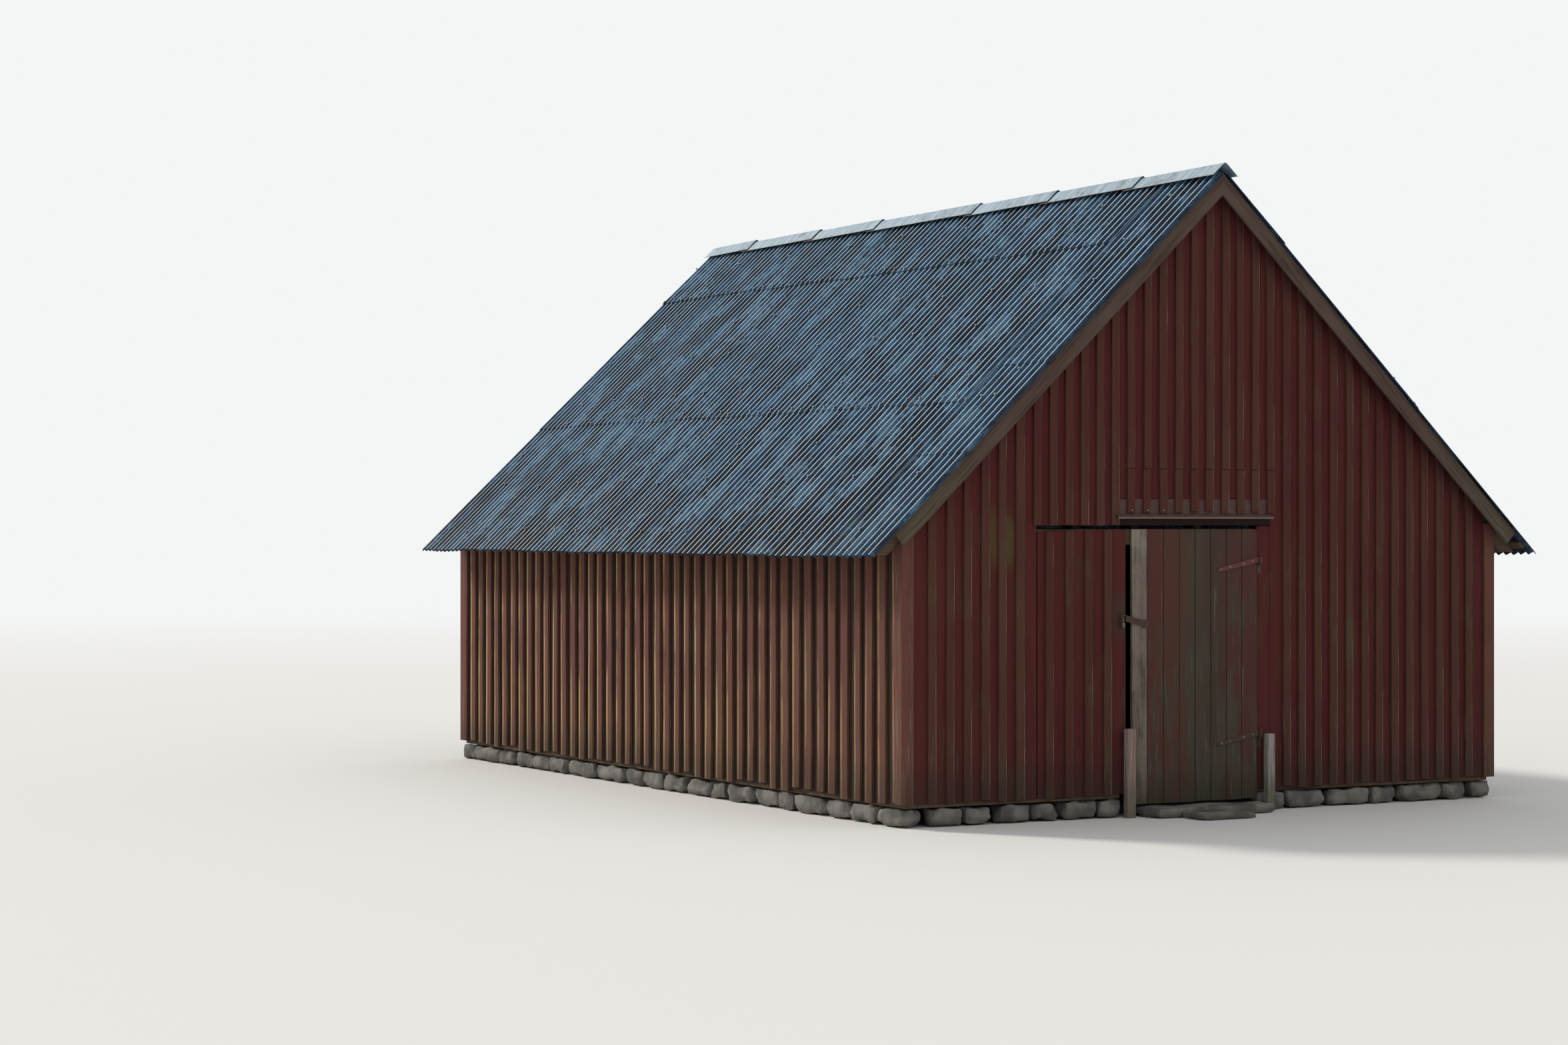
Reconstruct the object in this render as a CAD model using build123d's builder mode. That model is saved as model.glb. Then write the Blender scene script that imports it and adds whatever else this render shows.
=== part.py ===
from build123d import *
from math import cos, radians, sin, tan
import os

# An old timber barn, in millimetres. +X runs along the door gable to the right of someone who faces it,
# +Y runs from that gable to the back, and +Z is up. The origin is at ground level, in the middle of the
# ground that the barn covers with its eaves and its doorstep.

# Timber frame
frame_width = 5740
frame_length = 8360
timber = 125
sill_height = 150
plate_top = 2270
tie_depth = 125
rafter_notch = 63
side_bays = 4
back_post_place = 950
rail = 75
rail_height = 1150
gable_rail_count = 3
gable_rail_rise = 80
gable_rail_spacing = 850

# Foundation stones
stone_height = 150
stone_width = 220
stone_gap = 60
stone_play = 0.3
side_stones = 7
back_stones = 4
left_stones = 3
right_stones = 3

# Cladding: boards with battens over their joints
board = 22
batten = 23
clad_rise = 30
corner_leg = 110

# Roof
pitch = 43.3
eave_overhang = 350
gable_overhang = 145
lath_thickness = 32
lath_width = 75
lath_count = 9
first_lath = 33
last_lath = 90
rafter_depth = 110
rafter_width = 75
rafter_pairs = 9
tail_setback = 94

# Corrugated sheets in three courses a slope, counted down from the ridge
wave_pitch = 95
wave_height = 38
sheet_thickness = 4
sheet_length = 2000
ridge_sheet = 811
lower_lap = 140
upper_lap = 100
ridge_gap = 25

# Ridge caps
cap_count = 7
cap_wing = 165
cap_thickness = 3
cap_lap = 110
cap_rise = 6
cap_lip = 14

# Bargeboards
barge_depth = 130
barge_thickness = 25
barge_inset = 28
barge_stop = 220

# Doorway, counted from the barn's left outer corner: a fixed panel, a gap, the leaf and a trim board
doorway_left = 1235
panel_side_gap = 5
panel_width = 830
meeting_gap = 50
leaf_width = 1225
leaf_side_gap = 8
trim_board = 132
door_drop = 2
head_gap = 30
post_lap = 25
sill_setback = 40
trim_joint = 6

# Fixed left panel
panel_rise = 2
panel_battens = 4
panel_batten = 72
panel_margin = 70
staple_margin = 150

# Right door leaf. Levels are counted outwards from the outer face of the frame
floor_gap = 8
leaf_back = 6
leaf_plank = 28
leaf_planks = 8
plank_gap = 4
leaf_ledge_gap = 25
ledge_depth = 25
ledge_width = 120
ledge_setback = 25
lower_ledge_rise = 468
upper_ledge_drop = 338
brace_width = 110

# Board over the doorway, with its metal drip
header_lap = 105
header_height = 209
header_board = 25
drip_metal = 3
drip_upstand = 118
drip_reach = 45
drip_drop = 20
drip_lip = 16

# Strap hinges and their pintles
pin_from_leaf = 30
pin_radius = 7
pin_clearance = 0.4
pin_stand = 14
strap_metal = 6
strap_width = 46
strap_tip = 34
strap_reach = 430
strap_point = 26
strap_neck = 25
strap_sag = 11
upper_strap_drop = 248
lower_strap_rise = 533
eye_seat = 0.5
arm_width = 18
pintle_plate = 5
pintle_plate_width = 40
pintle_plate_height = 90

# Hasp with its staple and padlock
hasp_setback = 116
hasp_height = 1522
hasp_rise = 14
hasp_end = 16
hasp_width = 48
hasp_metal = 4
hasp_corner = 14
hasp_pin = 4
hasp_pin_clearance = 0.3
hasp_plate_width = 46
hasp_plate_height = 64
knuckle_gap = 0.8
knuckle_relief = 3
staple_setback = 24
staple_wire = 6
staple_inner = 10
staple_stand = 42
slot_clearance = 7
lock_step = 24
lock_hole = 11
lock_play = 0.4
lock_width = 36
lock_height = 40
lock_depth = 18
shackle_wire = 6
shackle_inner = 16
shackle_drop = 30

# Guard posts, one over the panel's edge and one past the leaf
left_guard_lap = 40
left_guard_width = 80
left_guard_depth = 60
left_guard_height = 700
right_guard_setback = 55
right_guard_width = 70
right_guard_depth = 65
right_guard_height = 620

# Stones at the doorway
threshold_setback = 80
threshold_top = 84
threshold_inside = 190
threshold_front = 280
threshold_corner = 50
step_setback = 300
step_width = 520
step_depth = 300
step_height = 55
step_corner = 70

# Places worked out from the sizes above
clad = board + batten
half_frame = frame_width / 2
half_wall = half_frame + clad
half_roof = half_wall + eave_overhang
inner_frame = half_frame - timber
roof_length = frame_length + 2 * (clad + gable_overhang)
step_front = threshold_front + stone_play + step_depth
front = step_front - (step_front + frame_length + clad + gable_overhang) / 2
back = front + frame_length
middle = (front + back) / 2
sill_top = stone_height + sill_height
plate_bottom = plate_top - timber
clad_bottom = stone_height + clad_rise
rafter_drop = lath_thickness + rafter_depth
slope_length = half_roof / cos(radians(pitch))
notch_height = plate_top - rafter_notch
notch_run = half_roof - half_frame
eave_height = notch_height + rafter_drop / cos(radians(pitch)) - notch_run * tan(radians(pitch))

# Places of the doorway, and heights on its leaf
panel_left = doorway_left + panel_side_gap
panel_right = panel_left + panel_width
leaf_left = panel_right + meeting_gap
leaf_right = leaf_left + leaf_width
doorway_right = leaf_right + leaf_side_gap + trim_board
door_top = plate_top - door_drop
leaf_bottom = threshold_top + floor_gap
lower_ledge = leaf_bottom + lower_ledge_rise
upper_ledge = door_top - upper_ledge_drop
lower_strap = leaf_bottom + lower_strap_rise
upper_strap = door_top - upper_strap_drop


def across(distance):
    """The X of a place counted along the gable from its left outer corner."""
    return distance - half_wall


def out(level):
    """The Y of a level in front of the outer face of the front frame."""
    return front - level


def roof_z(x, drop=0):
    """The height of the plane under the sheets, or of a plane that lies drop below it."""
    return eave_height + (half_roof - abs(x)) * tan(radians(pitch)) - drop / cos(radians(pitch))


def roof_x(z, drop=0):
    """The distance from the ridge line at which such a plane has a given height."""
    return half_roof - (z - roof_z(half_roof, drop)) / tan(radians(pitch))


def slope_plane(side, along=0, lift=0):
    """A plane square to a slope, looking uphill. Its x runs along the eave and its y off the roof."""
    uphill = Vector(-side * cos(radians(pitch)), 0, sin(radians(pitch)))
    off = Vector(side * sin(radians(pitch)), 0, cos(radians(pitch)))
    foot = Vector(side * half_roof, middle, eave_height)
    return Plane(origin=foot + uphill * along + off * lift, x_dir=(0, -side, 0), z_dir=uphill)


def across_plane(y):
    """A plane along the gable at one Y. Its x is X, its y is Z, and it looks towards the front."""
    return Plane.XZ.offset(-y)


def block(x_range, y_range, z_range):
    """A squared timber, board or stone between pairs of faces, added to the part being built."""
    ranges = (x_range, y_range, z_range)
    with Locations(tuple((low + high) / 2 for low, high in ranges)):
        Box(*(abs(high - low) for low, high in ranges))


def spaced(low, high, count):
    """Evenly spaced places from low to high."""
    return [low + (high - low) * i / (count - 1) for i in range(count)]


def save(piece, name):
    """Label a finished piece and write its file."""
    piece.part.label = name
    export_step(piece.part, f"parts/{name}.step")


os.makedirs("parts", exist_ok=True)

# Dry stones carry the sills, with open joints between them
stone_face = (stone_width - timber) / 2
opening_left = across(doorway_left) + post_lap
opening_right = across(leaf_right) - post_lap
sill_end = across(panel_right) - sill_setback
stone_inner = half_frame - (timber + stone_width) / 2
stone_outer = stone_inner + stone_width
front_stones_y = (out(-(timber + stone_width) / 2), out(stone_face))
back_stones_y = (front_stones_y[0] + frame_length - timber, front_stones_y[1] + frame_length - timber)
with BuildPart() as foundation_stones:
    side_spacing = (frame_length + 2 * clad) / side_stones
    for side in (-1, 1):
        for i in range(side_stones):
            start = out(clad) + i * side_spacing
            block((side * stone_inner, side * stone_outer),
                  (start + stone_gap / 2, start + side_spacing - stone_gap / 2), (0, stone_height))
    rows = ((back_stones, -stone_inner, stone_inner, back_stones_y),
            (left_stones, -stone_inner, sill_end + stone_gap, front_stones_y),
            (right_stones, opening_right - stone_gap / 2, stone_inner, front_stones_y))
    for count, left, right, depth in rows:
        end_spacing = (right - left - stone_gap) / count
        for i in range(count):
            start = left + stone_gap + i * end_spacing
            block((start, start + end_spacing - stone_gap), depth, (0, stone_height))
save(foundation_stones, "foundation_stones")

# A flat threshold slab lies under the door leaf, against the next stone, with a lower step in front
threshold_right = opening_right + stone_gap / 2 - stone_play
with BuildPart() as step_stone:
    block((across(leaf_left + step_setback), across(leaf_left + step_setback + step_width)),
          (out(threshold_front + stone_play), out(step_front)), (0, step_height))
    chamfer(step_stone.edges().filter_by(Axis.Z), step_corner)

with BuildPart() as door_stones:
    block((across(leaf_left + threshold_setback), threshold_right),
          (out(-threshold_inside), out(threshold_front)), (0, threshold_top))
    chamfer(door_stones.edges().filter_by(Axis.Z), threshold_corner)
    add(step_stone.part)
save(door_stones, "door_stones")

# Sills lie on the stones. The one in front stops behind the fixed panel and starts again past the leaf
with BuildPart() as side_sills:
    for side in (-1, 1):
        block((side * inner_frame, side * half_frame), (front, back), (stone_height, sill_top))
save(side_sills, "side_sills")

with BuildPart() as end_sills:
    block((-inner_frame, inner_frame), (back - timber, back), (stone_height, sill_top))
    for left, right in ((-inner_frame, sill_end), (opening_right, inner_frame)):
        block((left, right), (front, front + timber), (stone_height, sill_top))
save(end_sills, "end_sills")

# Posts stand on the sills: five along each side, two at the doorway, and one or two more in each gable
side_post_y = spaced(front + timber / 2, back - timber / 2, side_bays + 1)
with BuildPart() as wall_posts:
    for side in (-1, 1):
        for y in side_post_y:
            block((side * inner_frame, side * half_frame), (y - timber / 2, y + timber / 2),
                  (sill_top, plate_bottom))
save(wall_posts, "wall_posts")

mid_right = (opening_right + timber + inner_frame - timber) / 2
front_post_x = (opening_left - timber, opening_right, mid_right)
back_post_x = (-back_post_place - timber / 2, back_post_place - timber / 2)
with BuildPart() as gable_posts:
    for lefts, y in ((front_post_x, front), (back_post_x, back - timber)):
        for left in lefts:
            block((left, left + timber), (y, y + timber), (sill_top, plate_bottom))
save(gable_posts, "gable_posts")

# Rails between the posts, which the cladding is nailed to
rail_z = (rail_height - rail / 2, rail_height + rail / 2)
with BuildPart() as wall_rails:
    for side in (-1, 1):
        for near, far in zip(side_post_y, side_post_y[1:]):
            block((side * (half_frame - rail), side * half_frame),
                  (near + timber / 2, far - timber / 2), rail_z)
    for lefts, y in ((front_post_x, front), (back_post_x, back - rail)):
        starts = (-inner_frame, *(left + timber for left in lefts))
        for start, end in zip(starts, (*lefts, inner_frame)):
            if (start, end) != (opening_left, opening_right):
                block((start, end), (y, y + rail), rail_z)
save(wall_rails, "wall_rails")

# Plates close the frame at the top, and tie beams run from post to post under them
with BuildPart() as wall_plates:
    for side in (-1, 1):
        block((side * inner_frame, side * half_frame), (front, back), (plate_bottom, plate_top))
save(wall_plates, "wall_plates")

with BuildPart() as gable_plates:
    for y in (front, back - timber):
        block((-inner_frame, inner_frame), (y, y + timber), (plate_bottom, plate_top))
save(gable_plates, "gable_plates")

with BuildPart() as tie_beams:
    for y in side_post_y[1:-1]:
        block((-inner_frame, inner_frame), (y - timber / 2, y + timber / 2),
              (plate_bottom - tie_depth, plate_bottom))
save(tie_beams, "tie_beams")

# Rafters are notched over the wall plates, meet in plumb cuts at the ridge and have level feet
rafter_y = spaced(front + rafter_width, back, rafter_pairs)
tail_tip = half_roof - tail_setback
tail_z = roof_z(tail_tip, lath_thickness)
rafter_outline = [(0, roof_z(0, rafter_drop)), (roof_x(plate_top, rafter_drop), plate_top),
                  (half_frame, plate_top), (half_frame, notch_height),
                  (roof_x(tail_z, rafter_drop), tail_z), (tail_tip, tail_z), (0, roof_z(0, lath_thickness))]
for side, side_name in ((-1, "left"), (1, "right")):
    with BuildPart() as rafters:
        for y in rafter_y:
            with BuildSketch(across_plane(y)):
                with BuildLine():
                    Polyline(*((side * x, z) for x, z in rafter_outline), close=True)
                make_face()
            extrude(amount=rafter_width)
    save(rafters, f"{side_name}_rafters")

# Rails across each gable, cut to the slope of the rafters above them
with BuildPart() as gable_rails:
    for y in (front + rail, back):
        for i in range(gable_rail_count):
            z = plate_top + gable_rail_rise + i * gable_rail_spacing
            ends = (roof_x(z, rafter_drop), roof_x(z + rail, rafter_drop))
            with BuildSketch(across_plane(y)):
                with BuildLine():
                    Polyline((-ends[0], z), (ends[0], z), (ends[1], z + rail), (-ends[1], z + rail),
                             close=True)
                make_face()
            extrude(amount=rail)
save(gable_rails, "gable_rails")

# Laths lie along the roof on the rafters and run out to the bargeboards
lath_length = roof_length - 2 * (barge_inset + barge_thickness)
tail_along = tail_setback / cos(radians(pitch)) - lath_thickness * tan(radians(pitch))
lath_places = spaced(tail_along + first_lath + lath_width / 2, slope_length - last_lath, lath_count)
for side, side_name in ((-1, "left"), (1, "right")):
    with BuildPart() as laths:
        for along in lath_places:
            with BuildSketch(slope_plane(side, along - lath_width / 2, -lath_thickness / 2)):
                Rectangle(lath_length, lath_thickness)
            extrude(amount=lath_width)
    save(laths, f"{side_name}_roof_laths")

# Corrugated sheets, two straight flanks a wave: each course lies on the top of the one below, wave in wave
waves = round(roof_length / wave_pitch)
half_wave = roof_length / waves / 2
wave_line = [((i - waves) * half_wave, wave_height * (i % 2)) for i in range(2 * waves + 1)]
sheet_outline = wave_line + [(x, y + sheet_thickness) for x, y in reversed(wave_line)]
ridge_end = slope_length - ridge_gap
ridge_start = ridge_end - ridge_sheet
middle_end = ridge_start + upper_lap
middle_start = middle_end - sheet_length
courses = (("eave", 0, middle_start + lower_lap), ("middle", middle_start, middle_end),
           ("ridge", ridge_start, ridge_end))
for side, side_name in ((-1, "left"), (1, "right")):
    for layer, (course_name, start, end) in enumerate(courses):
        with BuildPart() as sheets:
            with BuildSketch(slope_plane(side, start, layer * sheet_thickness)):
                with BuildLine():
                    Polyline(*sheet_outline, close=True)
                make_face()
            extrude(amount=end - start)
        save(sheets, f"{side_name}_{course_name}_sheets")

# Folded caps cover the ridge. Each lies tilted, with its near end on the far end of the next
crest_lift = len(courses) * sheet_thickness + wave_height
wing_x = cap_wing * cos(radians(pitch))
lip_z = roof_z(wing_x, -crest_lift)
fold_x = roof_x(lip_z + cap_thickness, -crest_lift - cap_thickness)
cap_half = [(fold_x, lip_z + cap_thickness), (wing_x + cap_lip, lip_z + cap_thickness),
            (wing_x + cap_lip, lip_z), (wing_x, lip_z)]
cap_outline = [(0, roof_z(0, -crest_lift - cap_thickness)), *cap_half, (0, roof_z(0, -crest_lift)),
               *((-x, z) for x, z in reversed(cap_half))]
cap_base = roof_z(0)
cap_length = (roof_length + (cap_count - 1) * cap_lap) / cap_count
with BuildPart() as ridge_caps:
    for i in range(cap_count):
        far_end = middle - roof_length / 2 + cap_length + i * (cap_length - cap_lap)
        tilted = Plane(origin=(0, far_end, cap_base), x_dir=(1, 0, 0), z_dir=(0, -cap_length, cap_rise))
        with BuildSketch(tilted):
            with BuildLine():
                Polyline(*((x, z - cap_base) for x, z in cap_outline), close=True)
            make_face()
        extrude(amount=cap_length)
save(ridge_caps, "ridge_caps")

# Bargeboards under the sheets' edges, cut square at the foot
foot_x = half_roof - barge_stop
foot_z = roof_z(foot_x)
barge_outline = [(0, roof_z(0)), (foot_x, foot_z),
                 (foot_x - barge_depth * sin(radians(pitch)), foot_z - barge_depth * cos(radians(pitch))),
                 (0, roof_z(0, barge_depth))]
barge_y = (middle - roof_length / 2 + barge_inset + barge_thickness, middle + roof_length / 2 - barge_inset)
for side, side_name in ((-1, "left"), (1, "right")):
    with BuildPart() as bargeboards:
        for y in barge_y:
            with BuildSketch(across_plane(y)):
                with BuildLine():
                    Polyline(*((side * x, z) for x, z in barge_outline), close=True)
                make_face()
            extrude(amount=barge_thickness)
    save(bargeboards, f"{side_name}_bargeboards")

# Cladding between the corner boards. The sides stop under the rafters, and the gables follow the rake
side_top = roof_z(half_wall, rafter_drop)
corner_x = half_wall - corner_leg
corner_y = corner_leg - clad
for side, side_name in ((-1, "left"), (1, "right")):
    with BuildPart() as side_wall:
        block((side * half_frame, side * half_wall), (front + corner_y, back - corner_y),
              (clad_bottom, side_top))
    save(side_wall, f"{side_name}_wall")


def raked(foot):
    """The outline of a piece of gable cladding: its foot, given from left to right, and its raked top."""
    left, right = foot[0][0], foot[-1][0]
    tops = [x for x in (right, 0, left) if left <= x <= right]
    return [*foot, *((x, roof_z(x, lath_thickness)) for x in tops)]


head = door_top + head_gap
header_top = head + header_height
door_left_x = across(doorway_left)
door_right_x = across(doorway_right)
header_x = across(panel_right - header_lap)
over_door = [(door_left_x, head), (header_x, head), (header_x, header_top), (door_right_x, header_top)]
gable_walls = {
    "back_wall": (back + clad, raked([(-corner_x, clad_bottom), (corner_x, clad_bottom)])),
    "front_wall_left": (front, raked([(-corner_x, clad_bottom), (door_left_x, clad_bottom)])),
    "front_wall_right": (front, raked([(door_right_x, clad_bottom), (corner_x, clad_bottom)])),
    "front_wall_over_door": (front, raked(over_door)),
}
for wall_name, (y, outline) in gable_walls.items():
    with BuildPart() as gable_wall:
        with BuildSketch(across_plane(y)):
            with BuildLine():
                Polyline(*outline, close=True)
            make_face()
        extrude(amount=clad)
    save(gable_wall, wall_name)

# Corner boards, one on each face of a corner
with BuildPart() as corner_boards:
    for side in (-1, 1):
        for face_y, outward in ((front, -1), (back, 1)):
            block((side * corner_x, side * half_wall), (face_y, face_y + outward * clad),
                  (clad_bottom, roof_z(half_wall, lath_thickness)))
            block((side * half_frame, side * half_wall), (face_y, face_y - outward * corner_y),
                  (clad_bottom, side_top))
save(corner_boards, "corner_boards")

# The doorway's trim: a board on the hinge post and one over the leaf
with BuildPart() as door_trim:
    block((across(leaf_right) + leaf_side_gap, door_right_x), (front, out(board)),
          (clad_bottom, head - trim_joint))
    block((header_x, door_right_x), (front, out(header_board)), (head, header_top))
save(door_trim, "door_trim")

# A metal drip lies flat on that board and is folded out at its foot
bend_z = header_top - drip_upstand
lip_level = header_board + drip_reach
lip_top = bend_z - drip_drop
lip_bottom = lip_top - drip_lip
drip_inner = [(header_board, header_top), (header_board, bend_z), (lip_level, lip_top),
              (lip_level, lip_bottom)]
drip_outer = [(lip_level, lip_bottom), (lip_level, lip_top + drip_metal),
              (header_board, bend_z + drip_metal), (header_board, header_top)]
drip_outline = drip_inner + [(level + drip_metal, z) for level, z in drip_outer]
with BuildPart() as door_drip:
    with BuildSketch(Plane.YZ.offset(header_x)):
        with BuildLine():
            Polyline(*((out(level), z) for level, z in drip_outline), close=True)
        make_face()
    extrude(amount=door_right_x - header_x)
save(door_drip, "door_drip")

# The left half of the doorway is shut by a fixed panel of boards and battens
panel_x = (across(panel_left), across(panel_right))
panel_bottom = clad_bottom + panel_rise
batten_x = spaced(panel_x[0] + panel_margin, panel_x[1] - staple_margin - panel_batten, panel_battens)
with BuildPart() as left_door_panel:
    block(panel_x, (front, out(board)), (panel_bottom, door_top))
    for x in batten_x:
        block((x, x + panel_batten), (out(board), out(clad)), (panel_bottom, door_top))
save(left_door_panel, "left_door_panel")

with BuildPart() as left_door_ledges:
    for z in (lower_ledge, upper_ledge):
        block((opening_left + leaf_side_gap, panel_x[1] - ledge_setback), (front, out(-ledge_depth)),
              (z - ledge_width / 2, z + ledge_width / 2))
save(left_door_ledges, "left_door_ledges")

# The right half is a leaf of flush planks on two ledges and a brace
leaf_x = (across(leaf_left), across(leaf_right))
leaf_front = leaf_back + leaf_plank
plank_width = (leaf_x[1] - leaf_x[0] + plank_gap) / leaf_planks - plank_gap
with BuildPart() as right_door_planks:
    for i in range(leaf_planks):
        x = leaf_x[0] + i * (plank_width + plank_gap)
        block((x, x + plank_width), (out(leaf_back), out(leaf_front)), (leaf_bottom, door_top))
save(right_door_planks, "right_door_planks")

ledge_x = (leaf_x[0] + ledge_setback, opening_right - leaf_ledge_gap)
with BuildPart() as right_door_ledges:
    for z in (lower_ledge, upper_ledge):
        block(ledge_x, (out(leaf_back), out(leaf_back - ledge_depth)),
              (z - ledge_width / 2, z + ledge_width / 2))
    brace_low = lower_ledge + ledge_width / 2
    brace_high = upper_ledge - ledge_width / 2
    with BuildSketch(across_plane(out(leaf_back - ledge_depth))):
        with BuildLine():
            Polyline((ledge_x[1] - brace_width, brace_low), (ledge_x[1], brace_low),
                     (ledge_x[0] + brace_width, brace_high), (ledge_x[0], brace_high), close=True)
        make_face()
    extrude(amount=ledge_depth)
save(right_door_ledges, "right_door_ledges")

# Strap hinges: an eye rolled round the pin, and a strap that sags towards its pointed end
pin_x = leaf_x[1] + pin_from_leaf
eye_hole = pin_radius + pin_clearance
eye_radius = eye_hole + strap_metal
pin_level = leaf_front + eye_radius
pin_height = eye_seat + strap_width + pin_stand
sag = tan(radians(strap_sag))
for strap_name, z in (("upper_strap_hinge", upper_strap), ("lower_strap_hinge", lower_strap)):
    shoulder = strap_reach - strap_point
    with BuildPart() as strap:
        with BuildSketch(across_plane(out(leaf_front))):
            with BuildLine():
                Polyline((pin_x, z - strap_width / 2), (pin_x, z + strap_width / 2),
                         (pin_x - strap_neck, z + strap_width / 2),
                         (pin_x - shoulder, z - shoulder * sag + strap_tip / 2),
                         (pin_x - strap_reach, z - strap_reach * sag),
                         (pin_x - shoulder, z - shoulder * sag - strap_tip / 2),
                         (pin_x - strap_neck, z - strap_width / 2), close=True)
            make_face()
        extrude(amount=strap_metal)
        with Locations((pin_x, out(pin_level), z)):
            Cylinder(eye_radius, strap_width)
            Cylinder(eye_hole, strap_width, mode=Mode.SUBTRACT)
    save(strap, strap_name)

# Pintles: a plate on the trim board, an arm under the eye, and the pin
with BuildPart() as door_pintles:
    for z in (upper_strap, lower_strap):
        arm_top = z - strap_width / 2 - eye_seat
        block((pin_x - pintle_plate_width / 2, pin_x + pintle_plate_width / 2),
              (out(board), out(board + pintle_plate)), (arm_top - pintle_plate_height, arm_top))
        block((pin_x - arm_width / 2, pin_x + arm_width / 2),
              (out(board + pintle_plate), out(pin_level + arm_width / 2)), (arm_top - arm_width, arm_top))
        with Locations((pin_x, out(pin_level), arm_top)):
            Cylinder(pin_radius, pin_height, align=(Align.CENTER, Align.CENTER, Align.MIN))
save(door_pintles, "door_pintles")

# A hasp on the leaf reaches over the gap to a staple on the panel. It lies tilted, as the leaf has sunk
hasp_u = Vector(-cos(radians(hasp_rise)), 0, sin(radians(hasp_rise)))
knuckle = hasp_pin + hasp_pin_clearance + hasp_metal
hasp_level = leaf_front + knuckle
staple_reach = (hasp_setback + meeting_gap + staple_setback) / cos(radians(hasp_rise))
lock_reach = staple_reach + lock_step
hasp_reach = lock_reach + hasp_end
hasp_pivot = (across(leaf_left + hasp_setback), out(hasp_level), hasp_height)
hasp_plane = Plane(origin=hasp_pivot, x_dir=hasp_u, z_dir=(0, 1, 0))
pin_plane = Plane(origin=hasp_plane.origin, x_dir=hasp_u, z_dir=hasp_plane.y_dir)
hasp_face = knuckle - hasp_metal
with BuildPart() as hasp_plate:
    with BuildSketch(hasp_plane.offset(knuckle)):
        with Locations((-hasp_plate_width / 2, 0)):
            Rectangle(hasp_plate_width, hasp_plate_height)
    extrude(amount=-hasp_metal)
    with BuildSketch(pin_plane.offset(-hasp_plate_height / 2)):
        Circle(knuckle)
    extrude(amount=hasp_plate_height)
    with BuildSketch(pin_plane.offset(-hasp_width / 2 - knuckle_gap)):
        Rectangle(2 * (knuckle + knuckle_relief), 2 * (knuckle + knuckle_relief))
    extrude(amount=hasp_width + 2 * knuckle_gap, mode=Mode.SUBTRACT)
    with BuildSketch(pin_plane.offset(-hasp_plate_height / 2)):
        Circle(hasp_pin)
    extrude(amount=hasp_plate_height)
save(hasp_plate, "hasp_plate")

with BuildPart() as hasp:
    with BuildSketch(hasp_plane.offset(-hasp_face)):
        with Locations((hasp_reach / 2, 0)):
            Rectangle(hasp_reach, hasp_width)
    extrude(amount=-hasp_metal)
    chamfer(hasp.edges().filter_by(Axis.Y).sort_by(Axis(hasp_plane.origin, hasp_u))[-2:], hasp_corner)
    with BuildSketch(pin_plane.offset(-hasp_width / 2)):
        Circle(knuckle)
    extrude(amount=hasp_width)
    with BuildSketch(pin_plane.offset(-hasp_width / 2)):
        Circle(hasp_pin + hasp_pin_clearance)
    extrude(amount=hasp_width, mode=Mode.SUBTRACT)
    with BuildSketch(hasp_plane.offset(-hasp_face)):
        with Locations((staple_reach, 0)):
            Rectangle(staple_wire + 2 * slot_clearance, staple_wire * 2 + staple_inner + 2 * slot_clearance)
        with Locations((lock_reach, 0)):
            Rectangle(lock_hole, lock_hole)
    extrude(amount=-hasp_metal, mode=Mode.SUBTRACT)
save(hasp, "hasp")

# The staple's two legs stand one over the other
staple_centre = hasp_plane.origin + hasp_u * staple_reach
staple_half = staple_inner / 2
staple_outline = [(board, staple_half), (board + staple_stand - staple_wire, staple_half),
                  (board + staple_stand - staple_wire, -staple_half), (board, -staple_half),
                  (board, -staple_half - staple_wire), (board + staple_stand, -staple_half - staple_wire),
                  (board + staple_stand, staple_half + staple_wire), (board, staple_half + staple_wire)]
with BuildPart() as staple:
    with BuildSketch(Plane.YZ.offset(staple_centre.X - staple_wire / 2)):
        with BuildLine():
            Polyline(*((out(level), staple_centre.Z + z) for level, z in staple_outline), close=True)
        make_face()
    extrude(amount=staple_wire)
save(staple, "staple")

# A padlock hangs on the end of the hasp, with its shackle through the hole there
lock_point = hasp_plane.origin + hasp_u * lock_reach
lock_y = out(hasp_level + hasp_face + hasp_metal / 2)
half_wire_tilted = shackle_wire / 2 * (cos(radians(hasp_rise)) + sin(radians(hasp_rise)))
wire_z = lock_point.Z - (lock_hole / 2 - half_wire_tilted - lock_play)
bow_z = wire_z - shackle_wire / 2 - shackle_inner / 2
body_top = bow_z - shackle_drop
with BuildPart() as padlock:
    with BuildSketch(Plane.YZ.offset(lock_point.X - shackle_wire / 2)):
        with Locations((lock_y, bow_z)):
            Circle(shackle_inner / 2 + shackle_wire)
        with Locations((lock_y, (bow_z + body_top) / 2)):
            Rectangle(shackle_inner + 2 * shackle_wire, bow_z - body_top)
        with Locations((lock_y, bow_z)):
            Circle(shackle_inner / 2, mode=Mode.SUBTRACT)
        with Locations((lock_y, (bow_z + body_top) / 2)):
            Rectangle(shackle_inner, bow_z - body_top, mode=Mode.SUBTRACT)
    extrude(amount=shackle_wire)
    block((lock_point.X - lock_depth / 2, lock_point.X + lock_depth / 2),
          (lock_y - lock_width / 2, lock_y + lock_width / 2), (body_top - lock_height, body_top))
save(padlock, "padlock")

# Two short posts guard the doorway from wheels, set in the ground against the foundation stones
guards = ((panel_right - left_guard_lap, left_guard_width, left_guard_depth, left_guard_height),
          (leaf_right + right_guard_setback, right_guard_width, right_guard_depth, right_guard_height))
with BuildPart() as guard_posts:
    for left, width, depth, height in guards:
        near = stone_face + stone_play
        block((across(left), across(left + width)), (out(near), out(near + depth)), (0, height))
save(guard_posts, "guard_posts")
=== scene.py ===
import math
import random
from itertools import product

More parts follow.
